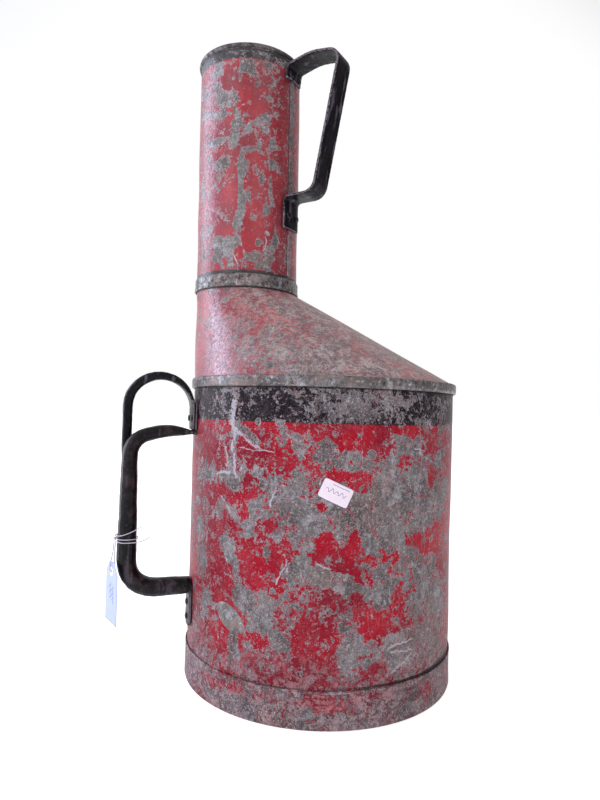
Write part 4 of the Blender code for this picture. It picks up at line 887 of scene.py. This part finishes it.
# ---------------------------------------------------------------- handles and rivets from the CAD's shapes
def refined(node, name, mat, voxel, hammer, smooth=2):
    """A finer, softened and slightly hammered copy of a CAD piece, with a field for its worn edges."""
    obj = bpy.data.objects.new(name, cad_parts[node].data.copy())
    bpy.context.scene.collection.objects.link(obj)
    weld = obj.modifiers.new("weld", "WELD")
    weld.merge_threshold = 0.00002
    remesh = obj.modifiers.new("remesh", "REMESH")
    remesh.mode = "VOXEL"
    remesh.voxel_size = voxel
    soften = obj.modifiers.new("soften", "SMOOTH")
    soften.iterations = smooth
    soften.factor = 0.5
    bpy.context.view_layer.update()
    depsgraph = bpy.context.evaluated_depsgraph_get()
    fine = bpy.data.meshes.new_from_object(obj.evaluated_get(depsgraph))
    obj.modifiers.clear()
    obj.data = fine
    count = len(fine.vertices)
    co, no = np.empty(count * 3), np.empty(count * 3)
    fine.vertices.foreach_get("co", co)
    fine.vertices.foreach_get("normal", no)
    co, no = co.reshape(-1, 3), no.reshape(-1, 3)
    push = np.array([noise.noise(Vector(p) * 85) * 0.7 + noise.noise(Vector(p) * 230) * 0.3 for p in co])
    # how sharply the surface turns at each vertex
    ends = np.empty(len(fine.edges) * 2, dtype=np.int32)
    fine.edges.foreach_get("vertices", ends)
    a, b = ends.reshape(-1, 2).T
    total, edge_count = np.zeros(count), np.zeros(count)
    away = ((co[b] - co[a]) * (no[b] - no[a])).sum(1) / np.maximum(((co[b] - co[a]) ** 2).sum(1), 1e-12)
    for i in (a, b):
        np.add.at(total, i, away)
        np.add.at(edge_count, i, 1)
    edge_count = np.maximum(edge_count, 1)
    edge = kept(total / edge_count / 420.0)
    for _ in range(2):
        wide = np.zeros(count)
        np.add.at(wide, a, edge[b])
        np.add.at(wide, b, edge[a])
        edge = 0.5 * edge + 0.5 * wide / edge_count
    co = co + no * (push * hammer)[:, None] - no * 0.00004
    fine.vertices.foreach_set("co", co.ravel())
    fine.polygons.foreach_set("use_smooth", [True] * len(fine.polygons))
    fine.materials.clear()
    fine.materials.append(mat)
    fine.update()
    set_field(obj, "edge", edge)
    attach(obj, "can")
    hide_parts(node)


def dress(node, mat):
    """Puts a material on a CAD node's own slots."""
    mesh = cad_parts[node].data
    if not mesh.materials:
        mesh.materials.append(mat)
    for i in range(len(mesh.materials)):
        mesh.materials[i] = mat


# ---------------------------------------------------------------- tag, sticker and string
def smooth_line(before, points, after, per_span):
    """A Catmull-Rom curve through the points, led in and out by the points before and after."""
    padded = [before, *points, after]
    found = []
    for p0, p1, p2, p3 in zip(padded, padded[1:], padded[2:], padded[3:]):
        for k in range(per_span):
            t = k / per_span
            found.append(0.5 * (2 * p1 + (p2 - p0) * t + (2 * p0 - 5 * p1 + 4 * p2 - p3) * t ** 2
                                + (3 * p1 - p0 - 3 * p2 + p3) * t ** 3))
    found.append(points[-1])
    return found


def thicken(obj, thickness, offset):
    solid = obj.modifiers.new("thick", "SOLIDIFY")
    solid.thickness = thickness
    solid.offset = offset


def pen_marks(name, strokes, place, width, body):
    """Thin flat ribbons along strokes on a surface."""
    verts, faces = [], []
    for stroke in strokes:
        points = [Vector((x, y, 0)) for x, y in stroke]
        fine = smooth_line(points[0], points, points[-1], 8)
        for i, p in enumerate(fine):
            ahead = (fine[min(i + 1, len(fine) - 1)] - fine[max(i - 1, 0)]).normalized()
            side = Vector((-ahead.y, ahead.x, 0)) * width * (0.5 + 0.12 * math.sin(i * 0.9))
            base = len(verts)
            verts += [place(p.x + side.x, p.y + side.y), place(p.x - side.x, p.y - side.y)]
            if i:
                faces.append((base - 2, base - 1, base + 1, base))
    add_mesh(name, verts, faces, MATS["pen"], body=body)


def build_label():
    """The paper sticker: rounded corners, slightly lifted, with a few meaningless pen strokes."""
    low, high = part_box("price_label")
    turn, half_w, half_h, corner = math.radians(-24.0), 0.0130, 0.0080, 0.0022
    centre_turn, centre_z = math.radians(STICKER), (low[2] + high[2]) / 2
    cols, rows = 52, 32
    verts, faces = [], []

    def place(u, v, lift):
        s = u * math.cos(turn) - v * math.sin(turn)
        h = u * math.sin(turn) + v * math.cos(turn)
        a = centre_turn + s / BODY_RADIUS
        r = BODY_RADIUS + lift
        return (AXIS_X + r * math.cos(a), r * math.sin(a), centre_z + h)

    for v in np.linspace(-half_h, half_h, rows):
        for u in np.linspace(-half_w, half_w, cols):
            du = max(abs(u) - (half_w - corner), 0)
            dv = max(abs(v) - (half_h - corner), 0)
            reach = math.hypot(du, dv)
            k = corner / reach if reach > corner else 1.0
            uu = math.copysign(min(abs(u), half_w - corner) + du * k, u)
            vv = math.copysign(min(abs(v), half_h - corner) + dv * k, v)
            curl = 0.00012 * (max(0.0, -u / half_w) * max(0.0, v / half_h)) ** 2
            lift = 0.00042 + curl + 0.00003 * noise.noise(Vector((u * 260, v * 260, 1.0)))
            verts.append(place(uu, vv, lift))
    for j in range(rows - 1):
        for i in range(cols - 1):
            a, b = j * cols + i, (j + 1) * cols + i
            faces.append((a, a + 1, b + 1, b))
    paper = add_mesh("price_sticker", verts, faces, MATS["label"], replaces=["price_label"])
    thicken(paper, 0.00018, -1)

    def stroke(start, end, v, tall, turns):
        return [(start + (end - start) * k / 24,
                 v + tall * math.sin(turns * math.pi * k / 12) * (0.7 + 0.3 * math.cos(k * 1.7)))
                for k in range(25)]

    pen_marks("price_sticker_marks", [stroke(-0.0088, 0.0090, 0.0004, 0.0021, 4.2),
                                      stroke(-0.0050, 0.0100, 0.0056, 0.0003, 6.0)],
              lambda u, v: place(u, v, 0.00047), 0.00032, "can")


def build_tag():
    """The hanging card: clipped corners, a punched hole and a slight curl."""
    points = np.array([v.co[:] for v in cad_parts["tag_card"].data.vertices])
    _, _, axes = np.linalg.svd(points - points.mean(0), full_matrices=False)
    normal = Vector(axes[2])
    if normal.y > 0:
        normal = -normal
    up = Vector((0, 0, 1))
    up = (up - normal * up.dot(normal)).normalized()
    across = -up.cross(normal).normalized()
    if across.x < 0:
        across = -across
    centre = Vector((points.max(0) + points.min(0)) / 2)
    half_w, half_h, clip, hole, drop = 0.0158, 0.0273, 0.0098, 0.0020, 0.009
    hole_v = half_h - drop + 0.0002

    def place(u, v, lift=0.0):
        bend = 0.00022 * (math.cos(u / half_w * 1.2) - 0.6) + 0.00012 * math.sin(v / half_h * 1.7)
        return centre + across * u + up * v + normal * (bend + lift)

    corners = [Vector((*p, 0)) for p in (
        (-half_w, -half_h), (half_w, -half_h), (half_w, half_h - clip), (half_w - clip, half_h),
        (-half_w + clip, half_h), (-half_w, half_h - clip))]
    border = []
    for a, b in zip(corners, corners[1:] + corners[:1]):
        steps = max(2, int((b - a).length / 0.0012))
        border += [a.lerp(b, k / steps) for k in range(steps)]
    hole_edge = []
    for p in border:
        away = Vector((p.x, p.y - hole_v, 0)).normalized()
        hole_edge.append(Vector((away.x * hole, hole_v + away.y * hole, 0)))
    # ring strips from the hole out to the card's border
    count, rings = len(border), 16
    verts, faces = [], []
    for k in range(rings + 1):
        share = (k / rings) ** 1.25
        for a, b in zip(hole_edge, border):
            p = a.lerp(b, share)
            verts.append(place(p.x, p.y))
    for k in range(rings):
        for i in range(count):
            j = (i + 1) % count
            faces.append((k * count + i, k * count + j, (k + 1) * count + j, (k + 1) * count + i))
    tag = add_mesh("hang_tag_card", verts, faces, MATS["card"], body="hang_tag",
                   replaces=["tag_card"])
    thicken(tag, 0.00045, 0)
    # a faint ring pressed round the hole
    verts, faces = [], []
    steps = 40
    for i in range(steps):
        a, j = 2 * math.pi * i / steps, (i + 1) % steps
        for r, lift in ((0.00215, 0.00024), (0.0030, 0.00036), (0.0041, 0.00026)):
            verts.append(place(r * math.cos(a), hole_v + r * math.sin(a), lift))
        for k in range(2):
            faces.append((i * 3 + k, i * 3 + k + 1, j * 3 + k + 1, j * 3 + k))
    add_mesh("hang_tag_eyelet_ring", verts, faces, MATS["label"], body="hang_tag")

    def stroke(u0, u1, v0, v1, tall, turns):
        return [(u0 + (u1 - u0) * k / 20 + tall * math.sin(turns * k), v0 + (v1 - v0) * k / 20)
                for k in range(21)]

    pen_marks("hang_tag_marks", [stroke(-0.0030, -0.0010, 0.0080, -0.0060, 0.0024, 0.9),
                                 stroke(0.0040, 0.0052, 0.0060, -0.0090, 0.0018, 1.1)],
              lambda u, v: place(u, v, 0.00028), 0.00055, "hang_tag")


HANDLE_TURN = math.radians(HANDLE)
OUTWARD = Vector((math.cos(HANDLE_TURN), math.sin(HANDLE_TURN), 0))
SIDEWAYS = Vector((-math.sin(HANDLE_TURN), math.cos(HANDLE_TURN), 0))
LEG = BODY_RADIUS + 0.0593      # middle of the grip's leg
LEG_OUT = 0.0088                # half the leg's depth
STRING_RADIUS = 0.00045
STRING_TWIST = 0.0026           # length of one turn of its two strands
STRING_SIDES = 10
TIE_HEIGHT = 0.1355
HOLE_HEIGHT = TIE_HEIGHT - 0.0299
BEND = 0.0018                   # how tightly the string turns through the tag's hole
HALF_OUT = LEG_OUT + 0.0003 + STRING_RADIUS
HALF_SIDE = 0.0100 + 0.0003 + STRING_RADIUS


def spot(r, side, height):
    """A place by its distance out along the handle's plane, sideways from it, and its height."""
    return Vector((AXIS_X, 0, height)) + OUTWARD * r + SIDEWAYS * side


def twisted_string(name, node, points, per_span, body):
    """A two-strand cotton string along a route, with its cut ends closed."""
    route = smooth_line(points[0] * 2 - points[1], points, points[-1] * 2 - points[-2], per_span)
    line = []
    for a, b in zip(route, route[1:]):
        count = max(1, int(round((b - a).length / 0.00030)))
        line += [a.lerp(b, k / count) for k in range(count)]
    line.append(route[-1])
    last = len(line) - 1
    sides = range(STRING_SIDES)
    verts, faces = [], []
    gone = 0.0
    across = (line[1] - line[0]).normalized().orthogonal().normalized()
    for k, here in enumerate(line):
        ahead = (line[min(k + 1, last)] - line[max(k - 1, 0)]).normalized()
        across = (across - ahead * across.dot(ahead)).normalized()
        third = ahead.cross(across)
        if k:
            gone += (here - line[k - 1]).length
        turn = 2 * math.pi * gone / STRING_TWIST
        for j in sides:
            a = 2 * math.pi * j / STRING_SIDES
            r = STRING_RADIUS * (0.99 + 0.05 * math.cos(2 * (a - turn)))
            verts.append(here + across * (r * math.cos(a)) + third * (r * math.sin(a)))
    for base in range(0, last * STRING_SIDES, STRING_SIDES):
        for j in sides:
            n = (j + 1) % STRING_SIDES
            faces.append((base + j, base + n, base + STRING_SIDES + n, base + STRING_SIDES + j))
    faces.append(tuple(reversed(sides)))
    faces.append(tuple(last * STRING_SIDES + j for j in sides))
    obj = add_mesh(name, verts, faces, MATS["cotton"], body=body, replaces=[node])


def build_strings():
    knot, card_r = LEG + LEG_OUT + 0.0019, LEG + LEG_OUT + 0.0034
    low = HOLE_HEIGHT + BEND
    start = TIE_HEIGHT - 0.0037
    loop = [spot(knot + 0.0007, 0, start), spot(knot + 0.0012, 0, start - 0.008),
            spot(card_r + BEND, 0, low + 0.004)]
    for k in range(9):
        turn = -math.pi * k / 8
        loop.append(spot(card_r + BEND * math.cos(turn), 0, low + BEND * math.sin(turn)))
    loop += [spot(card_r - BEND, 0, low + 0.004), spot(knot - 0.0003, 0, start - 0.008),
             spot(knot - 0.0007, 0, start)]
    twisted_string("hanging_string", "tag_string", loop, 2, "hang_tag")
    # both loose ends pass round the leg alike, then part: heights, and last places past the leg
    clear = HALF_SIDE + 0.0004
    rise_of_end = 0.0013 + 0.0003 + STRING_RADIUS
    round_leg = [(0.0060, -clear + 0.0012), (HALF_OUT + 0.0002, -0.0050), (HALF_OUT + 0.0012, 0.0),
                 (HALF_OUT - 0.0010, 0.0055), (0.0050, clear - 0.0010), (0.0, clear + 0.0002)]
    upper = (0.0, 0.0, 0.0002, 0.0008, 0.0020, 0.0038)
    lower = (0.0, 0.0, -0.0002, -0.0004, -0.0006, -0.0006)
    upper_tail = [(-0.0060, 0.0005, 0.0065), (-0.0115, 0.0008, 0.0098)]
    lower_tail = [(-0.0080, 0.0005, -0.0002), (-0.0140, 0.0010, 0.0014), (-0.0190, 0.0016, 0.0042)]
    for name, base, heights, tail, length in (
            ("upper", TIE_HEIGHT + rise_of_end, upper, upper_tail, 0.0419),
            ("lower", TIE_HEIGHT - rise_of_end, lower, lower_tail, 0.0485)):
        route = [spot(LEG + r, side, base + h) for (r, side), h in zip(round_leg, heights)]
        route += [spot(LEG + r, clear + side, base + h) for r, side, h in tail]
        twisted_string("loose_end_" + name, "tag_string_end_" + name, route, 4,
                       "can")


# ---------------------------------------------------------------- build
build_body()
build_base_band()
build_cone()
build_rim()
build_neck()
build_collar()
refined("neck_handle", "neck_strap", MATS["strap"], 0.0007, 0.00016)
refined("body_handle_grip", "carrying_grip", MATS["grip"], 0.0009, 0.00055, smooth=3)
refined("body_handle_loop", "carrying_loop", MATS["strap"], 0.0008, 0.00030, smooth=3)
for rivet in [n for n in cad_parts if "rivet" in n]:
    refined(rivet, rivet + "_worn", MATS["rivet"], 0.00028, 0.00012)
dress("bottom_plate", MATS["bottom"])
dress("mouth_wire", MATS["wire"])
build_label()
build_tag()
build_strings()
dress("tag_string_tie", MATS["cotton"])

# ---------------------------------------------------------------- stage, light and camera
floor_paint = Nodes("pale_floor")
floor_paint.finish((0.90, 0.90, 0.90), 0.9, spec=0.0)
floor_paint.fill(floor_paint.shader, Emission_Color=(1, 1, 1), Emission_Strength=0.55)
floor_mesh = bpy.data.meshes.new("floor")
floor_mesh.from_pydata([(x, y, -0.0004) for x, y in ((-30, -30), (30, -30), (30, 30), (-30, 30))],
                       [], [(0, 1, 2, 3)])
floor_mesh.materials.append(floor_paint.mat)
floor = bpy.data.objects.new("floor", floor_mesh)
bpy.context.scene.collection.objects.link(floor)


class Sky(Nodes):
    """The same short calls on the world's node tree."""

    def __init__(self, world):
        self.tree = world.node_tree


world = bpy.data.worlds.new("studio")
bpy.context.scene.world = world
world.use_nodes = True
sky = Sky(world)
direction = sky.new("TexCoord").outputs["Generated"]
across, ahead, above = sky.fill(sky.new("SeparateXYZ"), Vector=direction).outputs
# a room: cool and bright on the left, dim and warm on the right and behind the camera, white backdrop
room = sky.mix(sky.ramp(across, -0.75, 0.75), (0.82, 0.88, 1.12), (0.13, 0.11, 0.10))
room = sky.mix(sky.ramp(ahead, -0.9, 0.1, 1.0, 0.0), room, (0.34, 0.32, 0.31))
room = sky.mix(sky.ramp(above, 0.25, 0.95), room, (1.05, 1.02, 1.02))
room = sky.mix(sky.ramp(ahead, 0.66, 0.80), room, (1.0, 1.0, 1.0))
sky.fill(sky.tree.nodes["Background"], Color=room, Strength=1.0)


def soft_light(name, place, target, width, height, power, colour):
    data = bpy.data.lights.new(name, "AREA")
    data.shape = "RECTANGLE"
    data.size, data.size_y = width, height
    data.energy = power
    data.color = colour
    obj = bpy.data.objects.new(name, data)
    obj.location = place
    obj.rotation_euler = (Vector(target) - Vector(place)).to_track_quat("-Z", "Y").to_euler()
    bpy.context.scene.collection.objects.link(obj)


soft_light("window", (-1.45, 0.30, 0.60), (0, 0, 0.32), 0.8, 1.4, 18, (0.80, 0.88, 1.0))
soft_light("left_fill", (-1.1, -1.3, 0.9), (0, 0, 0.3), 1.0, 1.2, 9, (0.92, 0.95, 1.0))
soft_light("room", (0.7, -1.6, 1.3), (0, 0, 0.3), 1.4, 1.2, 5, (1.0, 0.95, 0.92))

# camera matched to the photo
pitch, roll = -0.0222, 0.02767
tilt = Matrix(((1, 0, 0), (0, math.cos(pitch), -math.sin(pitch)), (0, math.sin(pitch), math.cos(pitch))))
lean = Matrix(((math.cos(roll), 0, math.sin(roll)), (0, 1, 0), (-math.sin(roll), 0, math.cos(roll))))
turn = tilt @ lean
offset = Vector((0.0158, 0.6048, -0.2677))
right, forward, up = (turn.transposed() @ Vector(v) for v in ((1, 0, 0), (0, 1, 0), (0, 0, 1)))
eye = -(turn.transposed() @ offset) + Vector((AXIS_X, 0, 0))
camera_data = bpy.data.cameras.new("camera")
camera_data.sensor_fit = "VERTICAL"
camera_data.sensor_height = 24.0
camera_data.lens = 24.0 * 593.5 / 800
camera = bpy.data.objects.new("camera", camera_data)
camera.matrix_world = Matrix((
    (right.x, up.x, -forward.x, eye.x),
    (right.y, up.y, -forward.y, eye.y),
    (right.z, up.z, -forward.z, eye.z),
    (0, 0, 0, 1)))
bpy.context.scene.collection.objects.link(camera)
bpy.context.scene.camera = camera
bpy.context.scene.view_settings.view_transform = "Standard"
